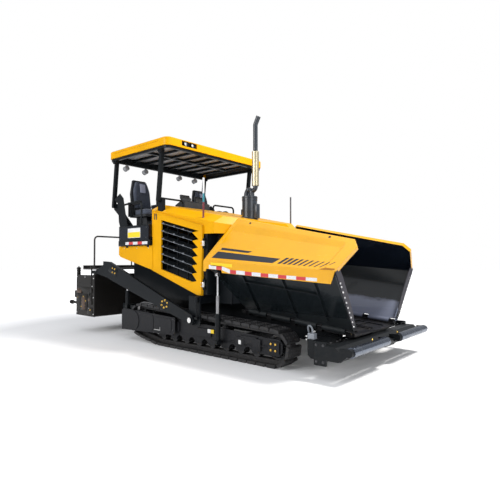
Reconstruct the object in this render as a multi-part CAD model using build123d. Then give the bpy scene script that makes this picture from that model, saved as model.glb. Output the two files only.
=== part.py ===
from build123d import *
import math
import os

# A tracked asphalt paver, in millimetres.
# X points forward to the hopper, Y to the machine's left, Z up. The origin is
# on the ground under the middle of the machine's overall box.

# Running clearances
SEAT_GAP = 0.3
PIN_GAP = 0.3
SLIDE_GAP = 0.3
SIDE_GAP = 8.0

# Tracks
TRACK_MID_Y = 1040.0
TRACK_WIDTH = 300.0
TRACK_OUT_Y = TRACK_MID_Y + TRACK_WIDTH / 2
IDLER_X, IDLER_R = 2135.0, 265.0
IDLER_Z = IDLER_R
SPROCKET_X, SPROCKET_Z, SPROCKET_R = -885.0, 385.0, 290.0
TAIL_ROLLER_X, TAIL_ROLLER_R = -330.0, 200.0
SHOE_COUNT = 44
SHOE_LENGTH = 152.0
SHOE_HEIGHT = 42.0
SHOE_BEVEL = 14.0
PITCH_DEPTH = 62.0
CHAIN_TOP_DEPTH = 36.0
CHAIN_DEPTH = 96.0
CHAIN_WIDTH = 120.0
SPROCKET_TEETH = 13
TOOTH_HEIGHT = 34.0
WHEEL_WIDTH = 84.0
IDLER_HOLES = 6
FRAME_BEAM_WIDTH = 170.0
FRAME_BEAM_LOW, FRAME_BEAM_HIGH = 245.0, 370.0
FRAME_LIP_LOW, FRAME_LIP_T = 145.0, 14.0
FRAME_SCALLOP_R, FRAME_PANEL_T = 72.0, 14.0
ROLLER_R = 70.0
ROLLER_COUNT = 8
CARRIER_R = 48.0

# Chassis
SIDE_PLATE_Y = 470.0
SIDE_PLATE_T = 30.0
CHASSIS_REAR_X = -1330.0
CHASSIS_FRONT_X = 2760.0
CHASSIS_LOW, CHASSIS_HIGH = 300.0, 900.0
HULL_Y = 870.0
HULL_T = 20.0
HULL_LOW, HULL_HIGH = 760.0, 1700.0
HULL_REAR_TOP = 1250.0
HULL_REAR_X, HULL_FRONT_X = -1500.0, 1090.0
CROSS_TUBE = 140.0
REAR_BEAM = 100.0
REAR_BEAM_Z = 500.0
LASHING_FRONT_X, LASHING_FRONT_Z, LASHING_R = 2600.0, 385.0, 30.0
LASHING_REAR_Y, LASHING_REACH, LASHING_T = 640.0, 100.0, 24.0

# Side covers over the track drives
COVER_REAR_X, COVER_FRONT_X = -1375.0, 147.0
COVER_LOW, COVER_HIGH = 174.0, 560.0
COVER_T, COVER_PROUD = 14.0, 10.0
COVER_Y = TRACK_OUT_Y + SIDE_GAP

# Engine and bodywork
ENGINE_REAR_X, ENGINE_FRONT_X = -250.0, 800.0
ENGINE_Y = 420.0
ENGINE_LOW, ENGINE_HIGH = 930.0, 1800.0
BODY_Y = 1150.0
PANEL_T = 30.0
DOOR_REAR_X, DOOR_FRONT_X = -540.0, 725.0
DOOR_AXIS_X, DOOR_AXIS_Y = 742.0, 1142.0
PANEL_REAR_X = -1585.0
BODY_REAR_TOP, BODY_FRONT_TOP = 2389.0, 2044.0
HOOD_REAR_X, HOOD_MID_X, HOOD_FRONT_X = -600.0, 950.0, 1130.0
HOOD_REAR_Z, HOOD_MID_Z, HOOD_FRONT_Z = 2440.0, 2130.0, 2085.0
HOOD_NOSE_Y = 700.0
HOOD_EDGE = 200.0
HOOD_SKIRT_LOW = 1850.0
HOOD_T = 25.0
DOOR_GAP = 6.0
LOUVRE_COUNT, LOUVRE_PITCH, LOUVRE_SLOPE = 7, 131.0, -0.244
LOUVRE_REAR_X, LOUVRE_NOTCH_X, LOUVRE_TIP_X = -300.0, 488.0, 640.0
LOUVRE_TOP_Z, LOUVRE_BAND = 2126.0, 55.0
LOUVRE_TIP_RISE, LOUVRE_TIP_LEAN = 18.0, 7.0
BLADE_T, BLADE_RISE = 5.0, 50.0
MULLION_T, MULLION_COUNT = 8.0, 3
VENT_SLOTS = (-490.0, -460.0, -430.0)
VENT_SLOT_LOW, VENT_SLOT_HIGH, VENT_SLOT_WIDTH = 2212.0, 2335.0, 12.0
HINGE_PIN_R = 12.0
HINGE_EAR_R = 20.0
HINGE_LENGTH = 60.0
DOOR_HINGES = (1060.0, 1700.0)

# Platform
PLATFORM_REAR_X, PLATFORM_FRONT_X = -1515.0, -600.0
PLATFORM_LOW, PLATFORM_T = 1700.0, 40.0
PLATFORM_SIDE_HIGH = 2070.0
PLATFORM_Y = 1195.0
SIDE_BOX_WIDTH = 190.0
RAIL_R = 17.0
STEP_COUNT, STEP_DEPTH, STEP_WIDTH = 3, 170.0, 560.0
SEAT_Y = 780.0
SEAT_X = -1180.0
CONSOLE_Y = 330.0
SEAT_LEAN, BACK_HIGH, BACK_T = 9.0, 720.0, 50.0

# Canopy
ROOF_REAR_X, ROOF_FRONT_X = -1795.0, -20.0
ROOF_Y = 1260.0
ROOF_LOW, ROOF_HIGH = 3370.0, 3510.0
ROOF_WALL = 40.0
ROOF_SKIN = 20.0
ROOF_CORNER = 110.0
ROOF_CHAMFER = 16.0
ROOF_GROOVE_Z, ROOF_GROOVE_HIGH, ROOF_GROOVE_DEEP = 3450.0, 8.0, 5.0
FRAME_HIGH, FRAME_LOW, FRAME_WIDTH = ROOF_LOW - PIN_GAP, 3325.0, 50.0
FRAME_RIB_LOW, FRAME_RIB_HIGH, FRAME_RIB_COUNT = 3395.0, 3440.0, 8
LAMP_POCKET = (-940.0, -590.0)
LAMP_POCKET_LOW, LAMP_POCKET_HIGH, LAMP_POCKET_DEEP = 3405.0, 3492.0, 30.0
LAMP_Y = (-850.0, -690.0)
LAMP_R, LAMP_Z = 38.0, 3448.0
POST_Y = 1150.0
POST_SIZE = 64.0
POST_LEAN_X, POST_RISE = 90.0, 852.0
FRONT_PIVOT_X = -381.0
REAR_PIVOT_X = -1765.0
POST_PIVOT_Z = 2478.0
POST_PIN_R = 16.0

# Hopper
HINGE_REAR_X, HINGE_REAR_Z = 1265.0, 660.0
HINGE_FRONT_X, HINGE_FRONT_Z = 3055.0, 505.0
HINGE_Y = 690.0
HINGE_ROD_R = 24.0
KNUCKLE_R = 42.0
LUG_CUT_R = 46.0
EDGE_STRIP_T, EDGE_STRIP_HIGH = 12.0, 26.0
KNUCKLE_LENGTH = 150.0
CREASE_REAR_X, CREASE_REAR_Z = 849.0, 1426.0
CREASE_FRONT_X, CREASE_FRONT_Z = 3105.0, 1250.0
CREASE_Y = 1240.0
LIP_REAR_X, LIP_REAR_Z = 1159.0, 2089.0
LIP_FRONT_X, LIP_FRONT_Z = 3150.0, 1692.0
LIP_Y = 800.0
WING_T = 26.0
SKIRT_HEIGHT, SKIRT_FRONT_HEIGHT, SKIRT_T = 155.0, 96.0, 12.0
SKIRT_RELIEF = 40.0
PANEL_FLANGE, PANEL_FLANGE_T = 60.0, 14.0
PLATE_FLANGE, PLATE_FLANGE_T = 90.0, 14.0
STIFFENER_HIGH, STIFFENER_T = 26.0, 12.0
FLOOR_T = 24.0
FLOOR_DROP = 40.0
SLAT_PITCH, SLAT_LENGTH, SLAT_HIGH = 165.0, 40.0, 18.0
LANE_IN, LANE_OUT, CHAIN_T = 30.0, 425.0, 30.0
SLATS_REAR_X, SLATS_FRONT_X = -1290.0, 2960.0

# Push beam and rollers
ROLLER_AXIS_X, ROLLER_AXIS_Z = 3273.0, 364.0
PUSH_ROLLER_R = 60.0
PUSH_ROLLER_IN, PUSH_ROLLER_OUT = 205.0, 1198.0
BEAM_REAR_X, BEAM_FRONT_X = 2955.0, 3160.0
BEAM_LOW, BEAM_HIGH = 200.0, 440.0
BEAM_Y = 1250.0
BEAM_PLATE_REAR_X, BEAM_PLATE_T = 2805.0, 30.0
BEAM_PLATE_LOW, BEAM_PLATE_HIGH = 170.0, 455.0
OUTRIGGER_REAR_X, OUTRIGGER_LOW, OUTRIGGER_HIGH = LASHING_FRONT_X + 50.0, 212.0, 445.0
OUTRIGGER_Y = 1150.0
BEAM_PIN_X, BEAM_PIN_R = 2880.0, 40.0

# Tow arms and screed
TOW_X, TOW_Z = 574.0, 510.0
TOW_PIN_R = 34.0
ARM_IN_Y, ARM_T = TRACK_OUT_Y + 28.0, 56.0
ARM_REAR_X = -1720.0
SCREED_REAR_X, SCREED_MID_X, SCREED_FRONT_X = -2966.0, -2640.0, -2257.0
SCREED_LOW, SCREED_HIGH = 318.0, 1165.0
SCREED_Y = 1250.0
SCREED_WALL = 16.0
WALK_REAR_X, WALK_FRONT_X, WALK_Z, WALK_T = -2900.0, -2300.0, 1275.0, 25.0
WALK_RAIL_Y, WALK_RAIL_HIGH = 920.0, 1955.0
SPINDLE_R, SPINDLE_HIGH = 14.0, 1312.0
BELLOWS_R, BELLOWS_LOW, BELLOWS_HIGH, BELLOWS_FOLDS = 44.0, 870.0, 1315.0, 9
HANDLE_R, HANDLE_Z = 27.0, 552.0
EXTENSION_HIGH = 1080.0
HANDLE_REAR_X = -ROLLER_AXIS_X - PUSH_ROLLER_R
GUIDE_X, GUIDE_HEIGHTS = -2800.0, (520.0, 760.0)
GUIDE_TUBE_R, GUIDE_TUBE_Y = 45.0, 1200.0
GUIDE_BLOCK, GUIDE_BLOCK_Y = 60.0, 90.0
BOLT_SPACING_X, BOLT_SPACING_Z, BOLT_HOLE_R = 420.0, 560.0, 11.0
BOLT_MID_X, BOLT_MID_Z = -2620.0, 700.0
AUGER_X, AUGER_Z, AUGER_R = -1800.0, 345.0, 190.0
AUGER_IN, AUGER_OUT = 95.0, 850.0
AUGER_SHAFT_R = 45.0
AUGER_TURNS, AUGER_STEPS, AUGER_BLADE_T = 3, 10, 12.0
LIFT_X, LIFT_LOW_Z, LIFT_TOP_Z = -1285.0, 592.0, 1085.0
LIFT_Y = ARM_IN_Y - 68.0

# Wing cylinders
WING_CYL_X, WING_CYL_Y = 1155.0, TRACK_OUT_Y + 50.0
WING_CYL_LOW_Z, WING_CYL_TOP_Z = 235.0, 1226.0
WING_BARREL_R, WING_STAGE_R, WING_ROD_R = 41.0, 27.0, 15.0
WING_BARREL_TOP, WING_STAGE_TOP = 653.0, 915.0
CYL_PIN_R = 18.0
CYL_EYE_R = 38.0
CYL_EYE_T = 40.0

# Exhaust
SILENCER_X, SILENCER_Y, SILENCER_R = 790.0, -100.0, 130.0
SILENCER_HIGH = 2540.0
STACK_X, STACK_Y, STACK_R = 920.0, -100.0, 40.0
SHIELD_R, SHIELD_T, SHIELD_LENGTH = 60.0, 4.0, 590.0
SHIELD_LOW = SILENCER_HIGH + 170.0
SHIELD_HIGH = SHIELD_LOW + SHIELD_LENGTH
STACK_TOP = SHIELD_HIGH + 560.0
STACK_T = 4.0

SIDES = (("right", -1), ("left", 1))


def line_z(x, x_a, z_a, x_b, z_b):
    """Height at a station on a straight line."""
    return z_a + (x - x_a) / (x_b - x_a) * (z_b - z_a)


def block(x_low, x_high, y_low, y_high, z_low, z_high):
    """Box between two corners."""
    size = (x_high - x_low, abs(y_high - y_low), z_high - z_low)
    centre = ((x_low + x_high) / 2, (y_low + y_high) / 2, (z_low + z_high) / 2)
    return Pos(*centre) * Box(*size)


def prism_y(outline, y_low, y_high):
    """Solid from a side outline of (x, z) points, between two y planes."""
    low, high = min(y_low, y_high), max(y_low, y_high)
    wire = Polyline(*[(x, low, z) for x, z in outline], close=True)
    return extrude(make_face(wire), amount=high - low, dir=(0, 1, 0))


def prism_x(outline, x_low, x_high):
    """Solid from a cross outline of (y, z) points, between two x planes."""
    wire = Polyline(*[(x_low, y, z) for y, z in outline], close=True)
    return extrude(make_face(wire), amount=x_high - x_low, dir=(1, 0, 0))


def prism_z(outline, z_low, z_high):
    """Solid from a plan outline of (x, y) points, between two heights."""
    wire = Polyline(*[(x, y, z_low) for x, y in outline], close=True)
    return extrude(make_face(wire), amount=z_high - z_low, dir=(0, 0, 1))


def bar(start, end, radius):
    """Round bar between two points."""
    along = Vector(*end) - Vector(*start)
    plane = Plane(origin=start, z_dir=along)
    return extrude(plane * Circle(radius), amount=along.length)


def square_bar(start, end, size):
    """Square bar between two points, flat to the y axis."""
    along = Vector(*end) - Vector(*start)
    plane = Plane(origin=start, x_dir=(0, 1, 0), z_dir=along)
    return extrude(plane * Rectangle(size, size), amount=along.length)


def tube_rail(points, radius, bend):
    """Bent round rail through a list of points."""
    path = FilletPolyline(*points, radius=bend)
    start = Plane(origin=path @ 0, z_dir=path % 0)
    return sweep(start * Circle(radius), path=path)


def lug(x_mid, z_mid, radius, y_low, y_high):
    """Round plate across y."""
    low, high = min(y_low, y_high), max(y_low, y_high)
    return bar((x_mid, low, z_mid), (x_mid, high, z_mid), radius)


def fuse(*shapes):
    """One shape from several that touch or overlap."""
    result = shapes[0]
    for shape in shapes[1:]:
        result = result + shape
    return result


def both_sides(shape):
    """A shape on the left and its mirror image on the right."""
    return [shape, mirror(shape, about=Plane.XZ)]


def on_side(shape, side):
    """A shape made on the left, placed on the side asked for."""
    return shape if side > 0 else mirror(shape, about=Plane.XZ)


def save(name, *shapes):
    """Write the solids of one node to its STEP file."""
    solids = []
    for shape in shapes:
        items = shape if isinstance(shape, list) else [shape]
        for item in items:
            solids.extend(item.solids())
    node = solids[0] if len(solids) == 1 else Compound(solids)
    node.label = name
    export_step(node, os.path.join("parts", name + ".step"))


# The track's line runs round three circles: tail roller, idler and sprocket
BELT = (
    (TAIL_ROLLER_X, TAIL_ROLLER_R, TAIL_ROLLER_R),
    (IDLER_X, IDLER_Z, IDLER_R),
    (SPROCKET_X, SPROCKET_Z, SPROCKET_R),
)


def belt_normals():
    """Outward direction, as an angle, of each straight run of the track."""
    angles = []
    for index, (x_a, z_a, r_a) in enumerate(BELT):
        x_b, z_b, r_b = BELT[(index + 1) % len(BELT)]
        distance = math.hypot(x_b - x_a, z_b - z_a)
        heading = math.atan2(z_b - z_a, x_b - x_a)
        angles.append(heading - math.acos((r_a - r_b) / distance))
    return angles


def belt_pieces(depth):
    """Straight runs and arcs of the track's line, a depth inside its outline."""
    normals = belt_normals()
    pieces = []
    for index, (x_mid, z_mid, radius) in enumerate(BELT):
        arrive, leave = normals[index - 1], normals[index]
        while leave < arrive:
            leave += 2 * math.pi
        pieces.append(("arc", x_mid, z_mid, radius - depth, arrive, leave))
        x_next, z_next, r_next = BELT[(index + 1) % len(BELT)]
        turn = normals[index]
        start = (x_mid + (radius - depth) * math.cos(turn), z_mid + (radius - depth) * math.sin(turn))
        end = (x_next + (r_next - depth) * math.cos(turn), z_next + (r_next - depth) * math.sin(turn))
        pieces.append(("run", start, end))
    return pieces


def belt_point(pieces, distance):
    """Point of the track's line at a distance along it."""
    for piece in pieces:
        if piece[0] == "arc":
            _, x_mid, z_mid, radius, arrive, leave = piece
            length = radius * (leave - arrive)
            if distance <= length:
                angle = arrive + distance / radius
                return x_mid + radius * math.cos(angle), z_mid + radius * math.sin(angle)
        else:
            _, start, end = piece
            length = math.dist(start, end)
            if distance <= length:
                share = distance / length
                return start[0] + share * (end[0] - start[0]), start[1] + share * (end[1] - start[1])
        distance -= length
    return belt_point(pieces, 0)


def belt_length(pieces):
    """Whole length of the track's line."""
    total = 0
    for piece in pieces:
        total += piece[3] * (piece[5] - piece[4]) if piece[0] == "arc" else math.dist(piece[1], piece[2])
    return total


def belt_face(depth):
    """Face inside the track's line at a depth, in the plane y = 0."""
    edges = []
    for piece in belt_pieces(depth):
        if piece[0] == "arc":
            _, x_mid, z_mid, radius, arrive, leave = piece
            points = []
            for share in (0, 0.5, 1):
                angle = arrive + share * (leave - arrive)
                points.append((x_mid + radius * math.cos(angle), 0, z_mid + radius * math.sin(angle)))
            edges.append(ThreePointArc(*points))
        else:
            edges.append(Line((piece[1][0], 0, piece[1][1]), (piece[2][0], 0, piece[2][1])))
    return make_face(edges)


def track():
    """One track: a chain loop with a shoe on every link, on the left side."""
    outer, inner = belt_face(CHAIN_TOP_DEPTH), belt_face(CHAIN_DEPTH)
    chain = extrude(outer - inner, amount=CHAIN_WIDTH / 2, dir=(0, 1, 0), both=True)
    pieces = belt_pieces(PITCH_DEPTH)
    pitch = belt_length(pieces) / SHOE_COUNT
    half = SHOE_LENGTH / 2
    top, under = PITCH_DEPTH, PITCH_DEPTH - SHOE_HEIGHT
    # along the link, away from the pitch line
    profile = (
        (-half, under), (half, under), (half, top - SHOE_BEVEL),
        (half - SHOE_BEVEL, top), (SHOE_BEVEL - half, top), (-half, top - SHOE_BEVEL),
    )
    shoes = []
    for index in range(SHOE_COUNT):
        x_a, z_a = belt_point(pieces, index * pitch)
        x_b, z_b = belt_point(pieces, (index + 1) * pitch)
        length = math.dist((x_a, z_a), (x_b, z_b))
        along = ((x_b - x_a) / length, (z_b - z_a) / length)
        away = (along[1], -along[0])
        x_mid, z_mid = (x_a + x_b) / 2, (z_a + z_b) / 2
        outline = [(x_mid + a * along[0] + b * away[0], z_mid + a * along[1] + b * away[1]) for a, b in profile]
        shoes.append(prism_y(outline, -TRACK_WIDTH / 2, TRACK_WIDTH / 2))
    return Pos(0, TRACK_MID_Y, 0) * fuse(chain, *shoes)


def sprocket():
    """Toothed drive wheel inside the rear bend of the track."""
    tip = SPROCKET_R - CHAIN_DEPTH - PIN_GAP
    root = tip - TOOTH_HEIGHT
    outline = []
    for index in range(SPROCKET_TEETH):
        for share, radius in ((0.0, root), (0.28, root), (0.46, tip), (0.82, tip)):
            angle = 2 * math.pi * (index + share) / SPROCKET_TEETH
            outline.append((SPROCKET_X + radius * math.cos(angle), SPROCKET_Z + radius * math.sin(angle)))
    wheel = prism_y(outline, TRACK_MID_Y - WHEEL_WIDTH / 2, TRACK_MID_Y + WHEEL_WIDTH / 2)
    hub = lug(SPROCKET_X, SPROCKET_Z, root * 0.62, SIDE_PLATE_Y, TRACK_OUT_Y - SIDE_GAP)
    return wheel + hub


def idler():
    """Front wheel of the track, with a raised rim, round holes in its web and an axle."""
    rim = IDLER_R - CHAIN_DEPTH - PIN_GAP
    low_y, high_y = TRACK_MID_Y - WHEEL_WIDTH / 2, TRACK_MID_Y + WHEEL_WIDTH / 2
    wheel = lug(IDLER_X, IDLER_Z, rim, low_y, high_y)
    groove = lug(IDLER_X, IDLER_Z, rim * 0.82, TRACK_MID_Y + WHEEL_WIDTH / 6, TRACK_MID_Y + WHEEL_WIDTH)
    wheel = wheel - groove
    for index in range(IDLER_HOLES):
        angle = 2 * math.pi * index / IDLER_HOLES
        x_mid, z_mid = IDLER_X + rim * 0.58 * math.cos(angle), IDLER_Z + rim * 0.58 * math.sin(angle)
        wheel = wheel - lug(x_mid, z_mid, rim * 0.14, low_y - 1, high_y + 1)
    axle = lug(IDLER_X, IDLER_Z, 40, TRACK_MID_Y - FRAME_BEAM_WIDTH / 2 - 20, TRACK_MID_Y + FRAME_BEAM_WIDTH / 2 + 20)
    return wheel + axle


def roller_places():
    """Places of the rollers that run on the track's ground run."""
    span_low, span_high = TAIL_ROLLER_X + 60, IDLER_X - 350
    z_mid = CHAIN_DEPTH + ROLLER_R + PIN_GAP
    return [(span_low + index * (span_high - span_low) / (ROLLER_COUNT - 1), z_mid) for index in range(ROLLER_COUNT)]


def track_frame():
    """Long beam over the rollers, with a side panel, idler forks and the wing cylinder's foot."""
    low_y, high_y = TRACK_MID_Y - FRAME_BEAM_WIDTH / 2, TRACK_MID_Y + FRAME_BEAM_WIDTH / 2
    rear, front = SPROCKET_X + 330, IDLER_X - 190
    outline = (
        (rear, FRAME_BEAM_LOW + 70), (rear + 110, FRAME_BEAM_LOW), (front, FRAME_BEAM_LOW),
        (front, FRAME_BEAM_HIGH - 60), (front - 260, FRAME_BEAM_HIGH), (rear, FRAME_BEAM_HIGH),
    )
    beam = prism_y(outline, low_y, high_y)
    places = roller_places()
    lips = []
    for y in (low_y, high_y - FRAME_LIP_T):
        lip = block(rear + 180, front - 60, y, y + FRAME_LIP_T, FRAME_LIP_LOW, FRAME_BEAM_LOW + 1)
        for (x_a, _), (x_b, _) in zip(places, places[1:]):
            x_mid = (x_a + x_b) / 2
            lip = lip - lug(x_mid, FRAME_LIP_LOW, FRAME_SCALLOP_R, y - 1, y + FRAME_LIP_T + 1)
        lips.append(lip)
    ears = []
    for x_mid, z_mid in carrier_places():
        for y in (low_y, high_y - FRAME_LIP_T):
            ears.append(block(x_mid - 40, x_mid + 40, y, y + FRAME_LIP_T, FRAME_BEAM_HIGH - 1, z_mid + 30))
    panel_outline = (
        (rear + 330, FRAME_BEAM_LOW + 10), (front - 20, FRAME_BEAM_LOW + 10), (front - 20, FRAME_BEAM_HIGH + 20),
        (rear + 980, FRAME_BEAM_HIGH + 100), (rear + 330, FRAME_BEAM_HIGH + 100),
    )
    panel = prism_y(panel_outline, high_y - 1, high_y + FRAME_PANEL_T)
    boxes = []
    # rear x, length, low z, height of the boxes on the side panel
    for x_low, length, z_low, height in ((rear + 420, 330, 285, 150), (rear + 1180, 300, 270, 120), (front - 420, 300, 265, 105)):
        boxes.append(block(x_low, x_low + length, high_y, high_y + FRAME_PANEL_T + 22, z_low, z_low + height))
    fork = block(front - 60, IDLER_X + 30, low_y, high_y, IDLER_Z - 45, IDLER_Z + 45)
    slot = block(front, IDLER_X + 60, TRACK_MID_Y - WHEEL_WIDTH / 2 - 6, TRACK_MID_Y + WHEEL_WIDTH / 2 + 6, 0, IDLER_Z * 2)
    fork = fork - slot - lug(IDLER_X, IDLER_Z, 40 + PIN_GAP, low_y - 1, high_y + 1)
    ties = [block(x, x + CROSS_TUBE, SIDE_PLATE_Y, low_y + 1, 230, 230 + CROSS_TUBE) for x in (150.0, 1450.0)]
    foot_x = WING_CYL_X
    foot = block(foot_x - 60, foot_x - CYL_EYE_T / 2 - 1, high_y - 1, WING_CYL_Y + 30, 200, 258)
    pin = bar((foot_x - 30, WING_CYL_Y, WING_CYL_LOW_Z), (foot_x + 30, WING_CYL_Y, WING_CYL_LOW_Z), CYL_PIN_R)
    return fuse(beam, *lips, *ears, panel, *boxes, fork, *ties, foot, pin)


def carrier_places():
    """Places of the rollers that carry the track's top run."""
    top = belt_pieces(CHAIN_DEPTH + CARRIER_R + PIN_GAP)[3]
    places = []
    for share in (0.32, 0.66):
        x_mid = top[1][0] + share * (top[2][0] - top[1][0])
        z_mid = top[1][1] + share * (top[2][1] - top[1][1])
        places.append((x_mid, z_mid))
    return places


def track_rollers():
    """Bottom rollers and carrier rollers of one track, each with its axle."""
    places = [(x_mid, z_mid, ROLLER_R) for x_mid, z_mid in roller_places()]
    places += [(x_mid, z_mid, CARRIER_R) for x_mid, z_mid in carrier_places()]
    reach = FRAME_BEAM_WIDTH / 2 - FRAME_LIP_T - PIN_GAP
    rollers = []
    for x_mid, z_mid, radius in places:
        wheel = lug(x_mid, z_mid, radius, TRACK_MID_Y - reach + 6, TRACK_MID_Y + reach - 6)
        axle = lug(x_mid, z_mid, 20, TRACK_MID_Y - reach, TRACK_MID_Y + reach)
        rollers.append(wheel + axle)
    return rollers


def floor_height(x):
    """Height of the wing hinge line at a station."""
    return line_z(x, HINGE_REAR_X, HINGE_REAR_Z, HINGE_FRONT_X, HINGE_FRONT_Z)


def floor_under(x):
    """Height of what carries the hopper floor at a station."""
    return floor_height(x) - FLOOR_DROP - FLOOR_T - PIN_GAP


def chassis():
    """Main frame: two long side plates, cross members, the outer hull and the rear beam."""
    side = prism_y(
        (
            (CHASSIS_REAR_X, CHASSIS_LOW + 60), (CHASSIS_REAR_X + 300, CHASSIS_LOW), (CHASSIS_FRONT_X, CHASSIS_LOW),
            (CHASSIS_FRONT_X, floor_under(CHASSIS_FRONT_X)), (HULL_FRONT_X, floor_under(HULL_FRONT_X)),
            (HULL_FRONT_X, CHASSIS_HIGH),
            (CHASSIS_REAR_X, CHASSIS_HIGH),
        ),
        SIDE_PLATE_Y - SIDE_PLATE_T, SIDE_PLATE_Y,
    )
    hull = prism_y(
        (
            (HULL_REAR_X, 1100), (CHASSIS_REAR_X, HULL_LOW), (HULL_FRONT_X, HULL_LOW),
            (HULL_FRONT_X, HULL_HIGH), (HULL_REAR_X, HULL_HIGH),
        ),
        HULL_Y - HULL_T, HULL_Y,
    )
    shelf = block(CHASSIS_REAR_X, HULL_FRONT_X, SIDE_PLATE_Y - 1, HULL_Y, HULL_LOW, HULL_LOW + HULL_T)
    shapes = both_sides(side) + both_sides(hull) + both_sides(shelf)
    shapes.append(block(CHASSIS_REAR_X, HULL_FRONT_X, -SIDE_PLATE_Y, SIDE_PLATE_Y, CHASSIS_HIGH - HULL_T, CHASSIS_HIGH))
    shapes.append(block(HULL_REAR_X, HULL_REAR_X + HULL_T, -HULL_Y, HULL_Y, 1100, HULL_HIGH))
    wall = block(HULL_FRONT_X - HULL_T, HULL_FRONT_X, -HULL_Y, HULL_Y, HULL_LOW, HULL_HIGH)
    gate = block(HULL_FRONT_X - 100, HULL_FRONT_X + 100, 1 - SIDE_PLATE_Y + SIDE_PLATE_T,
                 SIDE_PLATE_Y - SIDE_PLATE_T - 1, 0, CHASSIS_HIGH - HULL_T)
    shapes.append(wall - gate)
    floor_top = floor_height(HULL_FRONT_X) - FLOOR_DROP
    shapes.append(block(CHASSIS_REAR_X, HULL_FRONT_X, 1 - SIDE_PLATE_Y, SIDE_PLATE_Y - 1, floor_top - FLOOR_T, floor_top))
    for x_low in (150.0, 1450.0, CHASSIS_FRONT_X - 100):
        shapes.append(block(x_low, x_low + 100, -SIDE_PLATE_Y, SIDE_PLATE_Y, CHASSIS_LOW, CHASSIS_LOW + 60))
    beam_high = REAR_BEAM_Z + REAR_BEAM / 2
    shapes.append(block(CHASSIS_REAR_X, CHASSIS_REAR_X + REAR_BEAM, -TRACK_OUT_Y, TRACK_OUT_Y,
                        REAR_BEAM_Z - REAR_BEAM / 2, beam_high))
    for side_sign in (-1, 1):
        for offset in (-1, 1):
            y_mid = side_sign * LIFT_Y + offset * (CYL_EYE_T / 2 + 1 + 8)
            ear = block(LIFT_X - 38, LIFT_X + 38, y_mid - 8, y_mid + 8, beam_high - 1, LIFT_LOW_Z + 24)
            shapes.append(ear)
        y_mid = side_sign * LIFT_Y
        shapes.append(lug(LIFT_X, LIFT_LOW_Z, CYL_PIN_R, y_mid - 32, y_mid + 32))
    for sign in (-1, 1):
        y_mid = sign * LASHING_REAR_Y
        shapes.append(block(CHASSIS_REAR_X - LASHING_REACH, CHASSIS_REAR_X + 1, y_mid - 60, y_mid + 60,
                            REAR_BEAM_Z - LASHING_T / 2, REAR_BEAM_Z + LASHING_T / 2))
    frame = fuse(*shapes)
    for sign in (-1, 1):
        y_side, y_mid = sign * (SIDE_PLATE_Y - SIDE_PLATE_T / 2), sign * LASHING_REAR_Y
        frame = frame - lug(LASHING_FRONT_X, LASHING_FRONT_Z, LASHING_R, y_side - 25, y_side + 25)
        eye_x = CHASSIS_REAR_X - LASHING_REACH / 2
        frame = frame - bar((eye_x, y_mid, REAR_BEAM_Z - LASHING_T), (eye_x, y_mid, REAR_BEAM_Z + LASHING_T), LASHING_R)
    return frame


def drive_cover():
    """Cover outside the rear of the track: a plate with raised panels and a wall behind the sprocket."""
    outline = (
        (COVER_REAR_X, COVER_LOW), (COVER_FRONT_X - 60, COVER_LOW + 45), (COVER_FRONT_X, COVER_LOW + 90),
        (COVER_FRONT_X, COVER_HIGH - 55), (COVER_REAR_X + 60, COVER_HIGH), (COVER_REAR_X, COVER_HIGH - 40),
    )
    plate = prism_y(outline, COVER_Y, COVER_Y + COVER_T)
    face_y = COVER_Y + COVER_T
    arch = lug(SPROCKET_X - 130, COVER_LOW + 190, 178, face_y - 1, face_y + COVER_PROUD)
    shapes = [plate, arch]
    # rear x, front x, low z, high z of the raised panels
    for x_low, x_high, z_low, z_high in ((-790, -420, 235, 510), (-395, 60, 250, 480)):
        panel = block(x_low, x_high, face_y - 1, face_y + COVER_PROUD * 0.6, z_low, z_high)
        shapes.append(chamfer(panel.edges().filter_by(Axis.Y), 40))
    wall_in = HULL_Y + 20
    shapes.append(block(COVER_REAR_X, COVER_REAR_X + 30, wall_in, COVER_Y + 1, COVER_LOW + 20, COVER_HIGH - 40))
    shapes.append(block(COVER_REAR_X, CHASSIS_REAR_X - PIN_GAP, wall_in, COVER_Y + 1, REAR_BEAM_Z - 30, REAR_BEAM_Z + 30))
    return fuse(*shapes)


def tow_guide():
    """Guide outside the track that carries the tow pin, hung from the hull."""
    face_y = ARM_IN_Y - SIDE_GAP
    plate = block(TOW_X - 90, TOW_X + 170, TRACK_OUT_Y + 4, face_y, TOW_Z - 80, 880)
    arm = block(TOW_X - 60, TOW_X + 140, HULL_Y + PIN_GAP, TRACK_OUT_Y + 5, 765, 878)
    pin = lug(TOW_X, TOW_Z, TOW_PIN_R, face_y - 1, ARM_IN_Y + ARM_T + 1)
    cap = lug(TOW_X, TOW_Z, TOW_PIN_R + 18, ARM_IN_Y + ARM_T + 1, ARM_IN_Y + ARM_T + 14)
    return fuse(plate, arm, pin, cap)


def levelling_cylinder():
    """Upright cylinder beside the tow point, rod downwards."""
    x_mid, y_mid = TOW_X + 121, ARM_IN_Y + 22
    barrel = bar((x_mid, y_mid, 790), (x_mid, y_mid, 878), 30)
    rod = bar((x_mid, y_mid, 560), (x_mid, y_mid, 791), 11)
    foot = block(x_mid - 30, x_mid + 30, ARM_IN_Y - SIDE_GAP + PIN_GAP, y_mid + 20, 530, 561)
    clip = block(x_mid - 25, x_mid + 25, ARM_IN_Y - SIDE_GAP + PIN_GAP, y_mid, 822, 878)
    return fuse(barrel, rod, foot, clip)


def engine():
    """Engine and pump block."""
    return block(ENGINE_REAR_X, ENGINE_FRONT_X, -ENGINE_Y, ENGINE_Y, CHASSIS_HIGH + PIN_GAP, ENGINE_HIGH)


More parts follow.
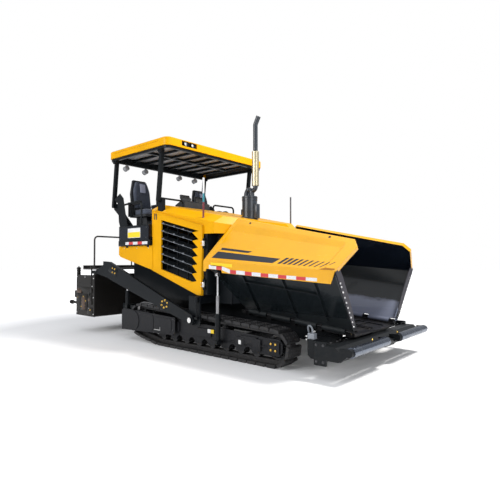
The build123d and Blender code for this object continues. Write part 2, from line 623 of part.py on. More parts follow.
def hood_top(x):
    """Height of the hood's middle at a station."""
    if x < HOOD_MID_X:
        return line_z(x, HOOD_REAR_X, HOOD_REAR_Z, HOOD_MID_X, HOOD_MID_Z)
    return line_z(x, HOOD_MID_X, HOOD_MID_Z, HOOD_FRONT_X, HOOD_FRONT_Z)


def hood_section(x, half_width, inset):
    """Cross section of the hood at a station, as a face."""
    top = hood_top(x) - inset
    side_y = half_width - inset
    low = HOOD_SKIRT_LOW - (50 if inset else 0)
    shoulder = top - HOOD_EDGE * 0.55
    points = (
        (-side_y, low), (side_y, low), (side_y, shoulder), (side_y - HOOD_EDGE, top),
        (HOOD_EDGE - side_y, top), (-side_y, shoulder),
    )
    return make_face(Polyline(*[(x, y, z) for y, z in points], close=True))


def hood_solid(inset):
    """Filled form of the hood, or of the space inside it."""
    side_y = BODY_Y - PANEL_T
    # station, half width
    table = (
        (HOOD_REAR_X - (10 if inset else 0), side_y), (HOOD_MID_X, side_y),
        (HOOD_FRONT_X - inset, HOOD_NOSE_Y),
    )
    spans = []
    for (x_a, width_a), (x_b, width_b) in zip(table, table[1:]):
        faces = [hood_section(x_a, width_a, inset), hood_section(x_b, width_b, inset)]
        spans.append(loft(faces, ruled=True))
    return fuse(*spans)


def hood():
    """Sloping engine hood, a hollow cover that narrows at its nose, open behind the doors' vents."""
    margin = 40
    rear, front, low = LOUVRE_REAR_X - margin, LOUVRE_TIP_X + margin, HOOD_SKIRT_LOW - 60
    vent = (
        (rear, low), (front, low), (front, louvre_line(front, 0) + LOUVRE_BAND + margin),
        (rear, louvre_line(rear, 0) + LOUVRE_BAND + margin),
    )
    cover = hood_solid(0) - hood_solid(HOOD_T)
    for cut in both_sides(prism_y(vent, HOOD_NOSE_Y, BODY_Y)):
        cover = cover - cut
    return cover


def rear_panel():
    """Fixed yellow side panel under the platform, left side."""
    outline = (
        (PANEL_REAR_X, 1700 - PIN_GAP), (PANEL_REAR_X, 1545), (PANEL_REAR_X + 60, 1500),
        (DOOR_REAR_X - DOOR_GAP, 1270), (DOOR_REAR_X - DOOR_GAP, 1700 - PIN_GAP),
    )
    panel = prism_y(outline, BODY_Y - PANEL_T, BODY_Y)
    return panel


def body_posts():
    """Upright posts that carry the side panels, hood and doors."""
    posts = []
    # x low, x high, z low, z high
    table = (
        (DOOR_REAR_X - 60, DOOR_REAR_X - 10, 1275, 1699.7),
        (PANEL_REAR_X + 90, PANEL_REAR_X + 140, 1500, 1699.7),
    )
    for x_low, x_high, z_low, z_high in table:
        posts.append(block(x_low, x_high, HULL_Y + 0.3, BODY_Y - PANEL_T - 0.3, z_low, z_high))
    front = block(DOOR_AXIS_X + 8, DOOR_AXIS_X + 58, HULL_Y + PIN_GAP, BODY_Y - PANEL_T - 6, 900,
                  HOOD_SKIRT_LOW - PIN_GAP)
    for z_mid in DOOR_HINGES:
        for offset in (-1, 1):
            z_lug = z_mid + offset * HINGE_LENGTH
            front = front + block(DOOR_AXIS_X - 8, DOOR_AXIS_X + 30, BODY_Y - PANEL_T - 10, DOOR_AXIS_Y + 9,
                                  z_lug - 20, z_lug + 20)
        front = front + bar((DOOR_AXIS_X, DOOR_AXIS_Y, z_mid - HINGE_LENGTH), (DOOR_AXIS_X, DOOR_AXIS_Y, z_mid + HINGE_LENGTH),
                            HINGE_PIN_R)
    posts.append(front)
    return posts


def louvre_line(x, row):
    """Height of a louvre's outer lip at a station, counted from the top."""
    return LOUVRE_TOP_Z - LOUVRE_BAND - row * LOUVRE_PITCH + (x - LOUVRE_REAR_X) * LOUVRE_SLOPE


def louvre_opening():
    """Outline of the door's vent: slanted at the top and bottom, saw-toothed in front."""
    points = [(LOUVRE_REAR_X, LOUVRE_TOP_Z)]
    for row in range(LOUVRE_COUNT):
        notch_z = louvre_line(LOUVRE_NOTCH_X, row)
        points.append((LOUVRE_TIP_X - row * LOUVRE_TIP_LEAN, notch_z + LOUVRE_TIP_RISE))
        points.append((LOUVRE_NOTCH_X, notch_z))
    points.append((LOUVRE_REAR_X, louvre_line(LOUVRE_REAR_X, LOUVRE_COUNT - 1)))
    return points


def engine_door():
    """Side door with a vent opening, hinged on its front edge, left side."""
    outline = (
        (DOOR_REAR_X, 1262), (DOOR_FRONT_X - 110, 891), (DOOR_FRONT_X, 891),
        (DOOR_FRONT_X, BODY_FRONT_TOP - 60), (DOOR_REAR_X, BODY_REAR_TOP - 90),
    )
    inner, outer = BODY_Y - PANEL_T, BODY_Y
    door = prism_y(outline, inner, outer) - prism_y(louvre_opening(), inner - 1, outer + 1)
    for x_mid in VENT_SLOTS:
        low, high = x_mid - VENT_SLOT_WIDTH / 2, x_mid + VENT_SLOT_WIDTH / 2
        door = door - block(low, high, inner - 1, outer + 1, VENT_SLOT_LOW, VENT_SLOT_HIGH)
    for z_mid in DOOR_HINGES:
        reach = HINGE_LENGTH - 20 - PIN_GAP
        ear = bar((DOOR_AXIS_X, DOOR_AXIS_Y, z_mid - reach), (DOOR_AXIS_X, DOOR_AXIS_Y, z_mid + reach), HINGE_EAR_R)
        leaf = block(DOOR_FRONT_X - 20, DOOR_AXIS_X, BODY_Y - 16, BODY_Y, z_mid - reach, z_mid + reach)
        hole = bar((DOOR_AXIS_X, DOOR_AXIS_Y, z_mid - 100), (DOOR_AXIS_X, DOOR_AXIS_Y, z_mid + 100), HINGE_PIN_R + PIN_GAP)
        door = fuse(door, ear, leaf) - hole
    return door


def door_louvres():
    """Slanted rain blades of the door's vent on upright bars behind it, left side."""
    rear, front = LOUVRE_REAR_X + PIN_GAP, LOUVRE_NOTCH_X - PIN_GAP
    outer, inner = BODY_Y - 2, BODY_Y - PANEL_T - BLADE_RISE
    blades = []
    for row in range(LOUVRE_COUNT - 1):
        low = louvre_line(rear, row)
        face = make_face(Polyline(
            (rear, outer, low), (rear, outer, low + BLADE_T), (rear, inner, low + BLADE_RISE + BLADE_T),
            (rear, inner, low + BLADE_RISE), close=True,
        ))
        run = Vector(front - rear, 0, (front - rear) * LOUVRE_SLOPE)
        blades.append(extrude(face, amount=run.length, dir=run.normalized()))
    bars = []
    for index in range(MULLION_COUNT):
        x_mid = rear + (front - rear) * (index + 0.5) / MULLION_COUNT
        low, high = louvre_line(x_mid, LOUVRE_COUNT - 1) - 25, louvre_line(x_mid, 0) + LOUVRE_BAND + 25
        bars.append(block(x_mid, x_mid + MULLION_T, BODY_Y - PANEL_T - 20, BODY_Y - PANEL_T, low, high))
    return fuse(*bars, *blades)


def platform():
    """Operator's floor with a box along each side."""
    floor = block(PLATFORM_REAR_X, PLATFORM_FRONT_X, -PLATFORM_Y, PLATFORM_Y, PLATFORM_LOW, PLATFORM_LOW + PLATFORM_T)
    shapes = [floor]
    box = block(PLATFORM_REAR_X, PLATFORM_FRONT_X, PLATFORM_Y - SIDE_BOX_WIDTH, PLATFORM_Y,
                PLATFORM_LOW, PLATFORM_SIDE_HIGH)
    shapes += both_sides(box)
    wall = block(PLATFORM_FRONT_X - 30, PLATFORM_FRONT_X - PIN_GAP, -BODY_Y + 40, BODY_Y - 40,
                 PLATFORM_LOW, HOOD_REAR_Z - 30)
    shapes.append(wall)
    for index in range(STEP_COUNT):
        high = PLATFORM_LOW - (index + 0.6) * (PLATFORM_LOW - HULL_REAR_TOP) / STEP_COUNT
        reach = 60 + index * 40
        shapes.append(block(PLATFORM_REAR_X - reach - STEP_DEPTH, PLATFORM_REAR_X - reach, -STEP_WIDTH / 2, STEP_WIDTH / 2,
                            high - 25, high))
    for sign in (-1, 1):
        y_mid = sign * STEP_WIDTH / 2
        stringer = (
            (PLATFORM_REAR_X + 1, PLATFORM_LOW + PLATFORM_T), (PLATFORM_REAR_X + 1, PLATFORM_LOW - 60),
            (PLATFORM_REAR_X - 160, HULL_REAR_TOP), (PLATFORM_REAR_X - 330, HULL_REAR_TOP), (PLATFORM_REAR_X - 230, PLATFORM_LOW + PLATFORM_T),
        )
        shapes.append(prism_y(stringer, y_mid - 8, y_mid + 8))
    return fuse(*shapes)


def console():
    """Control desk across the front of the platform: a column with a sloped head and two displays."""
    floor_z = PLATFORM_LOW + PLATFORM_T + PIN_GAP
    column = prism_y(((-860, floor_z), (-640, floor_z), (-640, 2450), (-820, 2450)), -CONSOLE_Y * 0.7, CONSOLE_Y * 0.7)
    head = prism_y(((-930, 2440), (-650, 2440), (-650, 2560), (-740, 2600), (-930, 2510)), -CONSOLE_Y, CONSOLE_Y)
    shapes = [column, head]
    for sign in (-1, 1):
        display = Pos(-800, sign * CONSOLE_Y * 0.55, 2640) * Rot(0, -24, 0) * Box(36, 220, 150)
        stem = block(-815, -785, sign * CONSOLE_Y * 0.55 - 15, sign * CONSOLE_Y * 0.55 + 15, 2540, 2640)
        shapes += [display, stem]
    return fuse(*shapes)


def back_outline(inset, low):
    """Outline of a seat's back as (across, up) points, an inset inside its edge."""
    wide, narrow = 210 - inset, 140 - inset
    top = BACK_HIGH - inset
    return ((-wide, low), (wide, low), (wide, top * 0.62), (narrow, top), (-narrow, top), (-wide, top * 0.62))


def seat_back(inset, low, depth_low, depth_high):
    """Leaning slab of a seat's back, between two depths in front of its rear face, left side."""
    points = [(depth_low, across, up) for across, up in back_outline(inset, low)]
    slab = extrude(make_face(Polyline(*points, close=True)), amount=depth_high - depth_low, dir=(1, 0, 0))
    return Pos(SEAT_X - 230, SEAT_Y, 2270) * Rot(0, -SEAT_LEAN, 0) * slab


def seat_frame():
    """Seat on its suspension foot, with a shell and armrests, left side."""
    floor_z = PLATFORM_LOW + PLATFORM_T + PIN_GAP
    foot = block(SEAT_X - 200, SEAT_X + 200, SEAT_Y - 170, SEAT_Y + 170, floor_z, floor_z + 60)
    column = block(SEAT_X - 120, SEAT_X + 120, SEAT_Y - 110, SEAT_Y + 110, floor_z + 59, 2150)
    bellows = block(SEAT_X - 160, SEAT_X + 160, SEAT_Y - 150, SEAT_Y + 150, 2100, 2250)
    pan = block(SEAT_X - 240, SEAT_X + 250, SEAT_Y - 240, SEAT_Y + 240, 2250 - 1, 2290)
    shapes = [foot, column, bellows, pan, seat_back(0, 0, 0, BACK_T)]
    for offset in (-1, 1):
        y_mid = SEAT_Y + offset * 268
        shapes.append(block(SEAT_X - 230, SEAT_X - 180, min(y_mid, SEAT_Y + offset * 200), max(y_mid, SEAT_Y + offset * 200), 2260, 2300))
        shapes.append(block(SEAT_X - 230, SEAT_X - 180, y_mid - 22, y_mid + 22, 2260, 2500))
        shapes.append(block(SEAT_X - 230, SEAT_X + 130, y_mid - 34, y_mid + 34, 2480, 2530))
    return fuse(*shapes)


def seat_cushions():
    """Seat and back cushions, left side."""
    low, high = 2290 + PIN_GAP, 2400
    base = block(SEAT_X - 150, SEAT_X + 240, SEAT_Y - 220, SEAT_Y + 220, low, high)
    back = seat_back(20, 150, BACK_T + PIN_GAP, BACK_T + 85)
    return [base, back]


def handrails():
    """Bent rails along the platform's side and across its front, left side."""
    y_mid = PLATFORM_Y - 60
    foot = PLATFORM_SIDE_HIGH + PIN_GAP
    side = tube_rail(((-1490, y_mid, foot), (-1490, y_mid, 2480), (-890, y_mid, 2520), (-890, y_mid, foot)), RAIL_R, 90)
    front_x, front_foot = PLATFORM_FRONT_X - RAIL_R - 1, HOOD_REAR_Z - 30 + PIN_GAP
    front = tube_rail(
        ((front_x, 1000, front_foot), (front_x, 1000, 2560), (front_x, 400, 2560), (front_x, 400, front_foot)), RAIL_R, 60)
    return [side, front]


def exhaust():
    """Silencer on the hood with its clamp bands and an open stack bent forward at the top."""
    base = hood_top(SILENCER_X) - 80
    silencer = bar((SILENCER_X, SILENCER_Y, base), (SILENCER_X, SILENCER_Y, SILENCER_HIGH), SILENCER_R)
    for z_mid in (SILENCER_HIGH - 60, SILENCER_HIGH - 260):
        silencer = silencer + bar((SILENCER_X, SILENCER_Y, z_mid - 14), (SILENCER_X, SILENCER_Y, z_mid + 14), SILENCER_R + 5)
    silencer = silencer - hood_solid(0)
    path = FilletPolyline(
        (SILENCER_X, SILENCER_Y, SILENCER_HIGH - 5), (SILENCER_X, SILENCER_Y, SILENCER_HIGH + 45),
        (STACK_X, STACK_Y, SILENCER_HIGH + 125), (STACK_X, STACK_Y, STACK_TOP - 90),
        (STACK_X + 70, STACK_Y, STACK_TOP + 40), radius=50,
    )
    start = Plane(origin=path @ 0, z_dir=path % 0)
    end = Plane(origin=path @ 1, z_dir=path % 1)
    stack = sweep(start * Circle(STACK_R), path=path)
    mouth = extrude(end * Circle(STACK_R - STACK_T), amount=-60)
    return silencer + stack - mouth


def heat_shield():
    """Round shield clamped about the stack."""
    shell = bar((STACK_X, STACK_Y, SHIELD_LOW), (STACK_X, STACK_Y, SHIELD_HIGH), SHIELD_R)
    bore = bar((STACK_X, STACK_Y, SHIELD_LOW - 1), (STACK_X, STACK_Y, SHIELD_HIGH + 1), SHIELD_R - SHIELD_T)
    shield = shell - bore
    for z_mid in (SHIELD_LOW + 40, SHIELD_HIGH - 40):
        ring = bar((STACK_X, STACK_Y, z_mid - 8), (STACK_X, STACK_Y, z_mid + 8), SHIELD_R - 3)
        hole = bar((STACK_X, STACK_Y, z_mid - 9), (STACK_X, STACK_Y, z_mid + 9), STACK_R + PIN_GAP)
        shield = shield + (ring - hole)
    return shield


def marker_rods():
    """Two thin sighting rods on the hood's edges."""
    near = bar((640, -1050, hood_top(640) - 120), (640, -1050, 2750), 11)
    far = bar((875, 1000, hood_top(875) - 120), (875, 1000, 2650), 9)
    return [near - hood_solid(0), far - hood_solid(0)]


def hopper_floor():
    """Sloping hopper floor with the wing hinge rods and their lugs."""
    rear_x, front_x = HULL_FRONT_X + PIN_GAP, HINGE_FRONT_X - 20
    height = floor_height
    top = -FLOOR_DROP
    outline = (
        (rear_x, height(rear_x) + top), (front_x, height(front_x) + top),
        (front_x, height(front_x) + top - FLOOR_T), (rear_x, height(rear_x) + top - FLOOR_T),
    )
    inner_y = HINGE_Y - KNUCKLE_R - 6
    floor = prism_y(outline, -inner_y, inner_y)
    strip = (
        (rear_x, height(rear_x) + top - 1), (front_x, height(front_x) + top - 1),
        (front_x, height(front_x) + top + EDGE_STRIP_HIGH), (rear_x, height(rear_x) + top + EDGE_STRIP_HIGH),
    )
    shapes = [floor, *both_sides(prism_y(strip, inner_y - EDGE_STRIP_T, inner_y))]
    axis_start = (HINGE_REAR_X - 40, HINGE_Y, height(HINGE_REAR_X - 40))
    axis_end = (HINGE_FRONT_X - 30, HINGE_Y, height(HINGE_FRONT_X - 30))
    rods = both_sides(bar(axis_start, axis_end, HINGE_ROD_R))
    shapes += rods
    for x_mid in hinge_lug_places():
        outline = (
            (x_mid - 35, height(x_mid - 35) + 30), (x_mid + 35, height(x_mid + 35) + 30),
            (x_mid + 35, height(x_mid + 35) + top - FLOOR_T), (x_mid - 35, height(x_mid - 35) + top - FLOOR_T),
        )
        shapes += both_sides(prism_y(outline, inner_y - 1, HINGE_Y + 20))
    return fuse(*shapes)


def hinge_lug_places():
    """Stations of the lugs that carry the wing hinge rods."""
    count = 5
    first, last = HINGE_REAR_X, HINGE_FRONT_X - 70
    return [first + index * (last - first) / (count - 1) for index in range(count)]


def wing_quad(x, z_a, y_a, z_b, y_b, thickness):
    """Thin quadrilateral across a wing at one station, as a face."""
    length = math.hypot(y_b - y_a, z_b - z_a)
    n_y, n_z = (z_b - z_a) / length * thickness, -(y_b - y_a) / length * thickness
    points = ((y_a, z_a), (y_b, z_b), (y_b + n_y, z_b + n_z), (y_a + n_y, z_a + n_z))
    return make_face(Polyline(*[(x, y, z) for y, z in points], close=True))


def wing_sheet():
    """Lower plate of a hopper wing before its edges are cut, left side."""
    faces = []
    for x in (CREASE_REAR_X, CREASE_FRONT_X):
        high_z = line_z(x, CREASE_REAR_X, CREASE_REAR_Z, CREASE_FRONT_X, CREASE_FRONT_Z)
        faces.append(wing_quad(x, floor_height(x), HINGE_Y, high_z, CREASE_Y, -WING_T))
    return loft(faces, ruled=True)


def wing_slab(low_depth, high_depth, x_low, x_high, lower):
    """Slab along a wing's lower plate or upper panel between two depths inside its outer face."""
    faces = []
    for x in (x_low, x_high):
        crease_z = line_z(x, CREASE_REAR_X, CREASE_REAR_Z, CREASE_FRONT_X, CREASE_FRONT_Z)
        if lower:
            start, end = (HINGE_Y, floor_height(x)), (CREASE_Y, crease_z)
        else:
            start, end = (CREASE_Y, crease_z), (LIP_Y, line_z(x, LIP_REAR_X, LIP_REAR_Z, LIP_FRONT_X, LIP_FRONT_Z))
        length = math.dist(start, end)
        n_y, n_z = -(end[1] - start[1]) / length, (end[0] - start[0]) / length
        points = [
            (start[0] + n_y * low_depth, start[1] + n_z * low_depth), (end[0] + n_y * low_depth, end[1] + n_z * low_depth),
            (end[0] + n_y * high_depth, end[1] + n_z * high_depth), (start[0] + n_y * high_depth, start[1] + n_z * high_depth),
        ]
        faces.append(make_face(Polyline(*[(x, y, z) for y, z in points], close=True)))
    return loft(faces, ruled=True)


def wing_plate():
    """Black lower plate of a hopper wing, with flanged ends, stiffeners, knuckles and cylinder lug, left side."""
    side = (
        (HINGE_REAR_X, HINGE_REAR_Z - 60), (HINGE_FRONT_X - 20, HINGE_FRONT_Z - 60), (HINGE_FRONT_X, HINGE_FRONT_Z),
        (CREASE_FRONT_X - 5, CREASE_FRONT_Z + 40), (CREASE_REAR_X + 5, CREASE_REAR_Z + 40),
        (CREASE_REAR_X + 5, CREASE_REAR_Z - 40), (HINGE_REAR_X, HINGE_REAR_Z),
    )
    trim = prism_y(side, HINGE_Y - 60, CREASE_Y + 60)
    plate = wing_sheet() & trim
    front = (
        (HINGE_FRONT_X - PLATE_FLANGE_T, HINGE_FRONT_Z + 70), (HINGE_FRONT_X + 4, HINGE_FRONT_Z + 70),
        (CREASE_FRONT_X - 12, CREASE_FRONT_Z - 30), (CREASE_FRONT_X - 12 - PLATE_FLANGE_T, CREASE_FRONT_Z - 30),
    )
    deep = wing_slab(WING_T - 1, PLATE_FLANGE, CREASE_REAR_X, CREASE_FRONT_X, True)
    flange = deep & prism_y(front, HINGE_Y - 100, CREASE_Y + 60)
    shapes = [plate, flange - wing_slab(-200, PANEL_FLANGE + 40, LIP_REAR_X, LIP_FRONT_X + 60, False)]
    proud = wing_slab(-STIFFENER_HIGH, 1, CREASE_REAR_X, CREASE_FRONT_X, True)
    # side outlines of the outer stiffeners
    rib_x = (HINGE_REAR_X + 250, (HINGE_REAR_X + HINGE_FRONT_X) / 2 + 60, HINGE_FRONT_X - 330)
    for x in rib_x:
        outline = ((x, 640), (x + STIFFENER_T, 640), (x + STIFFENER_T + 40, 1270), (x + 40, 1270))
        shapes.append(proud & prism_y(outline, HINGE_Y, CREASE_Y - SKIRT_T / 2 - 1))
    low, high = rib_x[0] + 8, rib_x[2] + 8
    long_rib = ((low, 1120), (high, 990), (high, 990 + STIFFENER_T), (low, 1120 + STIFFENER_T))
    shapes.append(proud & prism_y(long_rib, HINGE_Y, CREASE_Y))
    places = hinge_lug_places()
    rod_hole = bar(
        (HINGE_REAR_X - 400, HINGE_Y, floor_height(HINGE_REAR_X - 400)),
        (HINGE_FRONT_X + 400, HINGE_Y, floor_height(HINGE_FRONT_X + 400)),
        HINGE_ROD_R + PIN_GAP,
    )
    for x_a, x_b in zip(places, places[1:]):
        start_x, end_x = x_a + 46, x_b - 46
        start = (start_x, HINGE_Y, floor_height(start_x))
        end = (end_x, HINGE_Y, floor_height(end_x))
        shapes.append(bar(start, end, KNUCKLE_R))
    wing = fuse(*shapes)
    for x_mid in places:
        ends = [(x, HINGE_Y, floor_height(x)) for x in (x_mid - 42, x_mid + 42)]
        wing = wing - bar(*ends, LUG_CUT_R)
        wing = wing - block(x_mid - 42, x_mid + 42, HINGE_Y - 80, HINGE_Y + 75, 380, floor_height(x_mid) - 6)
    wing = wing - rod_hole
    lug_x = WING_CYL_X - CYL_EYE_T / 2 - 0.5
    lug_plate = prism_x(
        ((CREASE_Y - 230, 1080), (CREASE_Y - 230, 1100), (CREASE_Y - 60, 1322), (CREASE_Y - 25, 1270),
         (WING_CYL_Y + 34, 1240), (WING_CYL_Y + 20, 1196), (WING_CYL_Y - 30, 1190)),
        lug_x - 16, lug_x,
    )
    return wing + lug_plate


def skirt_low(x):
    """Height of the skirt's lower edge at a station along the wing."""
    share = (x - CREASE_REAR_X) / (CREASE_FRONT_X - 60 - CREASE_REAR_X)
    rear, front = CREASE_REAR_Z - SKIRT_HEIGHT, CREASE_FRONT_Z - SKIRT_FRONT_HEIGHT
    return rear + share * (front - rear)


def wing_panel():
    """Yellow upper panel of a hopper wing, flanged inwards round its free edges, with a skirt, left side."""
    x_low, x_high = LIP_REAR_X - 320, LIP_FRONT_X + 60
    side = (
        (CREASE_REAR_X, CREASE_REAR_Z), (CREASE_FRONT_X, CREASE_FRONT_Z), (CREASE_FRONT_X + 100, CREASE_FRONT_Z + 360),
        (LIP_FRONT_X, LIP_FRONT_Z + 60), (LIP_FRONT_X, 2500), (LIP_REAR_X, 2500), (LIP_REAR_X, LIP_REAR_Z),
    )
    pan = (
        (CREASE_REAR_X + 1.5 * PANEL_FLANGE_T, CREASE_REAR_Z - 200), (CREASE_FRONT_X - 60, CREASE_FRONT_Z - 200),
        (CREASE_FRONT_X - PANEL_FLANGE_T, CREASE_FRONT_Z), (CREASE_FRONT_X + 100 - PANEL_FLANGE_T, CREASE_FRONT_Z + 355),
        (LIP_FRONT_X - PANEL_FLANGE_T, LIP_FRONT_Z + 45 - PANEL_FLANGE_T), (LIP_REAR_X + 6, LIP_REAR_Z - 1.4 * PANEL_FLANGE_T),
    )
    slab = wing_slab(0, PANEL_FLANGE, x_low, x_high, False) & prism_y(side, LIP_Y - 100, CREASE_Y + 60)
    inside = wing_slab(WING_T, PANEL_FLANGE + 40, x_low, x_high, False) & prism_y(pan, LIP_Y - 200, CREASE_Y + 60)
    panel = slab - inside
    below = wing_slab(-200, WING_T, CREASE_REAR_X - 100, CREASE_FRONT_X + 100, True)
    panel = panel - below
    relief_x = WING_CYL_X + 75
    skirt = prism_y(
        (
            (CREASE_REAR_X, CREASE_REAR_Z + SKIRT_T), (CREASE_FRONT_X, CREASE_FRONT_Z + SKIRT_T),
            (CREASE_FRONT_X - 60, CREASE_FRONT_Z - SKIRT_FRONT_HEIGHT), (relief_x + 15, skirt_low(relief_x + 15)),
            (relief_x, skirt_low(relief_x) + SKIRT_RELIEF), (CREASE_REAR_X + 60, skirt_low(CREASE_REAR_X + 60) + SKIRT_RELIEF),
            (CREASE_REAR_X + 45, skirt_low(CREASE_REAR_X + 45)), (CREASE_REAR_X, skirt_low(CREASE_REAR_X)),
        ),
        CREASE_Y - SKIRT_T / 2, CREASE_Y + SKIRT_T / 2,
    )
    return panel + skirt - wing_sheet()


def conveyor():
    """Slat conveyor lanes on the floor: two chains and their slats each, left lane."""
    top = FLOOR_DROP - PIN_GAP
    bend_x = HULL_FRONT_X

    def height(x):
        return floor_height(max(x, bend_x)) - top

    lane = []
    for low in (LANE_IN, LANE_OUT - CHAIN_T):
        line = ((SLATS_REAR_X, height(SLATS_REAR_X)), (bend_x, height(bend_x)), (SLATS_FRONT_X, height(SLATS_FRONT_X)))
        upper = [(x, z + SLAT_HIGH * 0.7) for x, z in reversed(line)]
        lane.append(prism_y([*line, *upper], low, low + CHAIN_T))
    count = int((SLATS_FRONT_X - SLATS_REAR_X) / SLAT_PITCH)
    for index in range(count):
        low = SLATS_REAR_X + 30 + index * SLAT_PITCH
        high = low + SLAT_LENGTH
        outline = ((low, height(low)), (high, height(high)), (high, height(high) + SLAT_HIGH), (low, height(low) + SLAT_HIGH))
        lane.append(prism_y(outline, LANE_IN, LANE_OUT))
    return fuse(*lane)


def wing_barrel():
    """Outer barrel of a wing cylinder, left side."""
    x, y = WING_CYL_X, WING_CYL_Y
    barrel = bar((x, y, WING_CYL_LOW_Z + 34), (x, y, WING_BARREL_TOP), WING_BARREL_R)
    bore = bar((x, y, WING_CYL_LOW_Z + 60), (x, y, WING_BARREL_TOP + 1), WING_STAGE_R + SLIDE_GAP)
    eye = bar((x - CYL_EYE_T / 2, y, WING_CYL_LOW_Z), (x + CYL_EYE_T / 2, y, WING_CYL_LOW_Z), CYL_EYE_R)
    hole = bar((x - 50, y, WING_CYL_LOW_Z), (x + 50, y, WING_CYL_LOW_Z), CYL_PIN_R + PIN_GAP)
    return barrel - bore + (eye - hole) - hole


def wing_stage():
    """Middle stage of a wing cylinder, left side."""
    x, y = WING_CYL_X, WING_CYL_Y
    tube = bar((x, y, WING_BARREL_TOP - 100), (x, y, WING_STAGE_TOP), WING_STAGE_R)
    bore = bar((x, y, WING_BARREL_TOP - 90), (x, y, WING_STAGE_TOP + 1), WING_ROD_R + SLIDE_GAP)
    return tube - bore


def wing_rod():
    """Thin rod of a wing cylinder with its top eye, left side."""
    x, y = WING_CYL_X, WING_CYL_Y
    rod = bar((x, y, WING_STAGE_TOP - 110), (x, y, WING_CYL_TOP_Z - 20), WING_ROD_R)
    eye = bar((x - CYL_EYE_T / 2, y, WING_CYL_TOP_Z), (x + CYL_EYE_T / 2, y, WING_CYL_TOP_Z), CYL_EYE_R * 0.8)
    return rod + eye


def push_beam():
    """Swinging front beam with its roller brackets and pins."""
    low_z, high_z = BEAM_LOW + 40, BEAM_HIGH - 30
    section = (
        (BEAM_REAR_X, low_z + 20), (BEAM_REAR_X + 30, low_z), (BEAM_FRONT_X - 20, low_z), (BEAM_FRONT_X, low_z + 25),
        (BEAM_FRONT_X, high_z - 55), (BEAM_FRONT_X - 60, high_z), (BEAM_REAR_X, high_z),
    )
    shapes = [prism_y(section, -BEAM_Y, BEAM_Y)]
    shapes.append(bar((BEAM_PIN_X, 0, low_z), (BEAM_PIN_X, 0, high_z), BEAM_PIN_R + 35))
    shapes.append(block(BEAM_PIN_X, BEAM_REAR_X + 5, -70, 70, low_z, high_z))
    shapes += both_sides(block(BEAM_PLATE_REAR_X, BEAM_REAR_X + 20, BEAM_Y - BEAM_PLATE_T, BEAM_Y, BEAM_PLATE_LOW, BEAM_PLATE_HIGH))
    end_gap = 6
    # y low and y high of each roller bracket
    table = (
        (PUSH_ROLLER_OUT + end_gap, BEAM_Y),
        (PUSH_ROLLER_IN - end_gap - 44, PUSH_ROLLER_IN - end_gap),
    )
    for low, high in table:
        outline = (
            (BEAM_FRONT_X - 5, ROLLER_AXIS_Z + 40), (ROLLER_AXIS_X - 20, ROLLER_AXIS_Z + 44),
            (ROLLER_AXIS_X - 20, ROLLER_AXIS_Z - 44), (BEAM_FRONT_X - 5, low_z),
        )
        shapes += both_sides(prism_y(outline, low, high))
        shapes += both_sides(lug(ROLLER_AXIS_X, ROLLER_AXIS_Z, 48, low, high))
    shapes += both_sides(lug(ROLLER_AXIS_X, ROLLER_AXIS_Z, 22, PUSH_ROLLER_IN - 20, PUSH_ROLLER_OUT + 20))
    middle = block(BEAM_FRONT_X - 5, ROLLER_AXIS_X - 40, -(PUSH_ROLLER_IN - 49), PUSH_ROLLER_IN - 49, low_z + 30, high_z - 60)
    return fuse(*shapes, middle) - bar((BEAM_PIN_X, 0, 0), (BEAM_PIN_X, 0, 1000), BEAM_PIN_R + PIN_GAP)


def push_roller():
    """Hollow roller on its pin, left side."""
    body = bar((ROLLER_AXIS_X, PUSH_ROLLER_IN, ROLLER_AXIS_Z), (ROLLER_AXIS_X, PUSH_ROLLER_OUT, ROLLER_AXIS_Z), PUSH_ROLLER_R)
    hole = bar((ROLLER_AXIS_X, 0, ROLLER_AXIS_Z), (ROLLER_AXIS_X, BEAM_Y, ROLLER_AXIS_Z), 22 + PIN_GAP)
    return body - hole


def outrigger():
    """Bevelled box that stands out from the chassis' side behind the push beam, left side."""
    front_x = CHASSIS_FRONT_X - 20
    outline = (
        (OUTRIGGER_REAR_X, OUTRIGGER_HIGH), (OUTRIGGER_REAR_X, OUTRIGGER_LOW + 40), (OUTRIGGER_REAR_X + 50, OUTRIGGER_LOW),
        (front_x, OUTRIGGER_LOW), (front_x, OUTRIGGER_HIGH),
    )
    return prism_y(outline, SIDE_PLATE_Y + SEAT_GAP, OUTRIGGER_Y)


def beam_pivot():
    """Upright pin and jaws at the chassis' front that carry the push beam."""
    jaw_low = block(CHASSIS_FRONT_X - 60, BEAM_PIN_X + 55, -110, 110, BEAM_LOW - 20, BEAM_LOW + 40 - 0.5)
    jaw_high = block(CHASSIS_FRONT_X - 60, BEAM_PIN_X + 55, -110, 110, BEAM_HIGH - 30 + 0.5, BEAM_HIGH)
    pin = bar((BEAM_PIN_X, 0, BEAM_LOW - 15), (BEAM_PIN_X, 0, BEAM_HIGH - 5), BEAM_PIN_R)
    web = block(CHASSIS_FRONT_X - 60, CHASSIS_FRONT_X + 20, -110, 110, BEAM_LOW - 20, BEAM_HIGH)
    return fuse(jaw_low, jaw_high, pin, web)


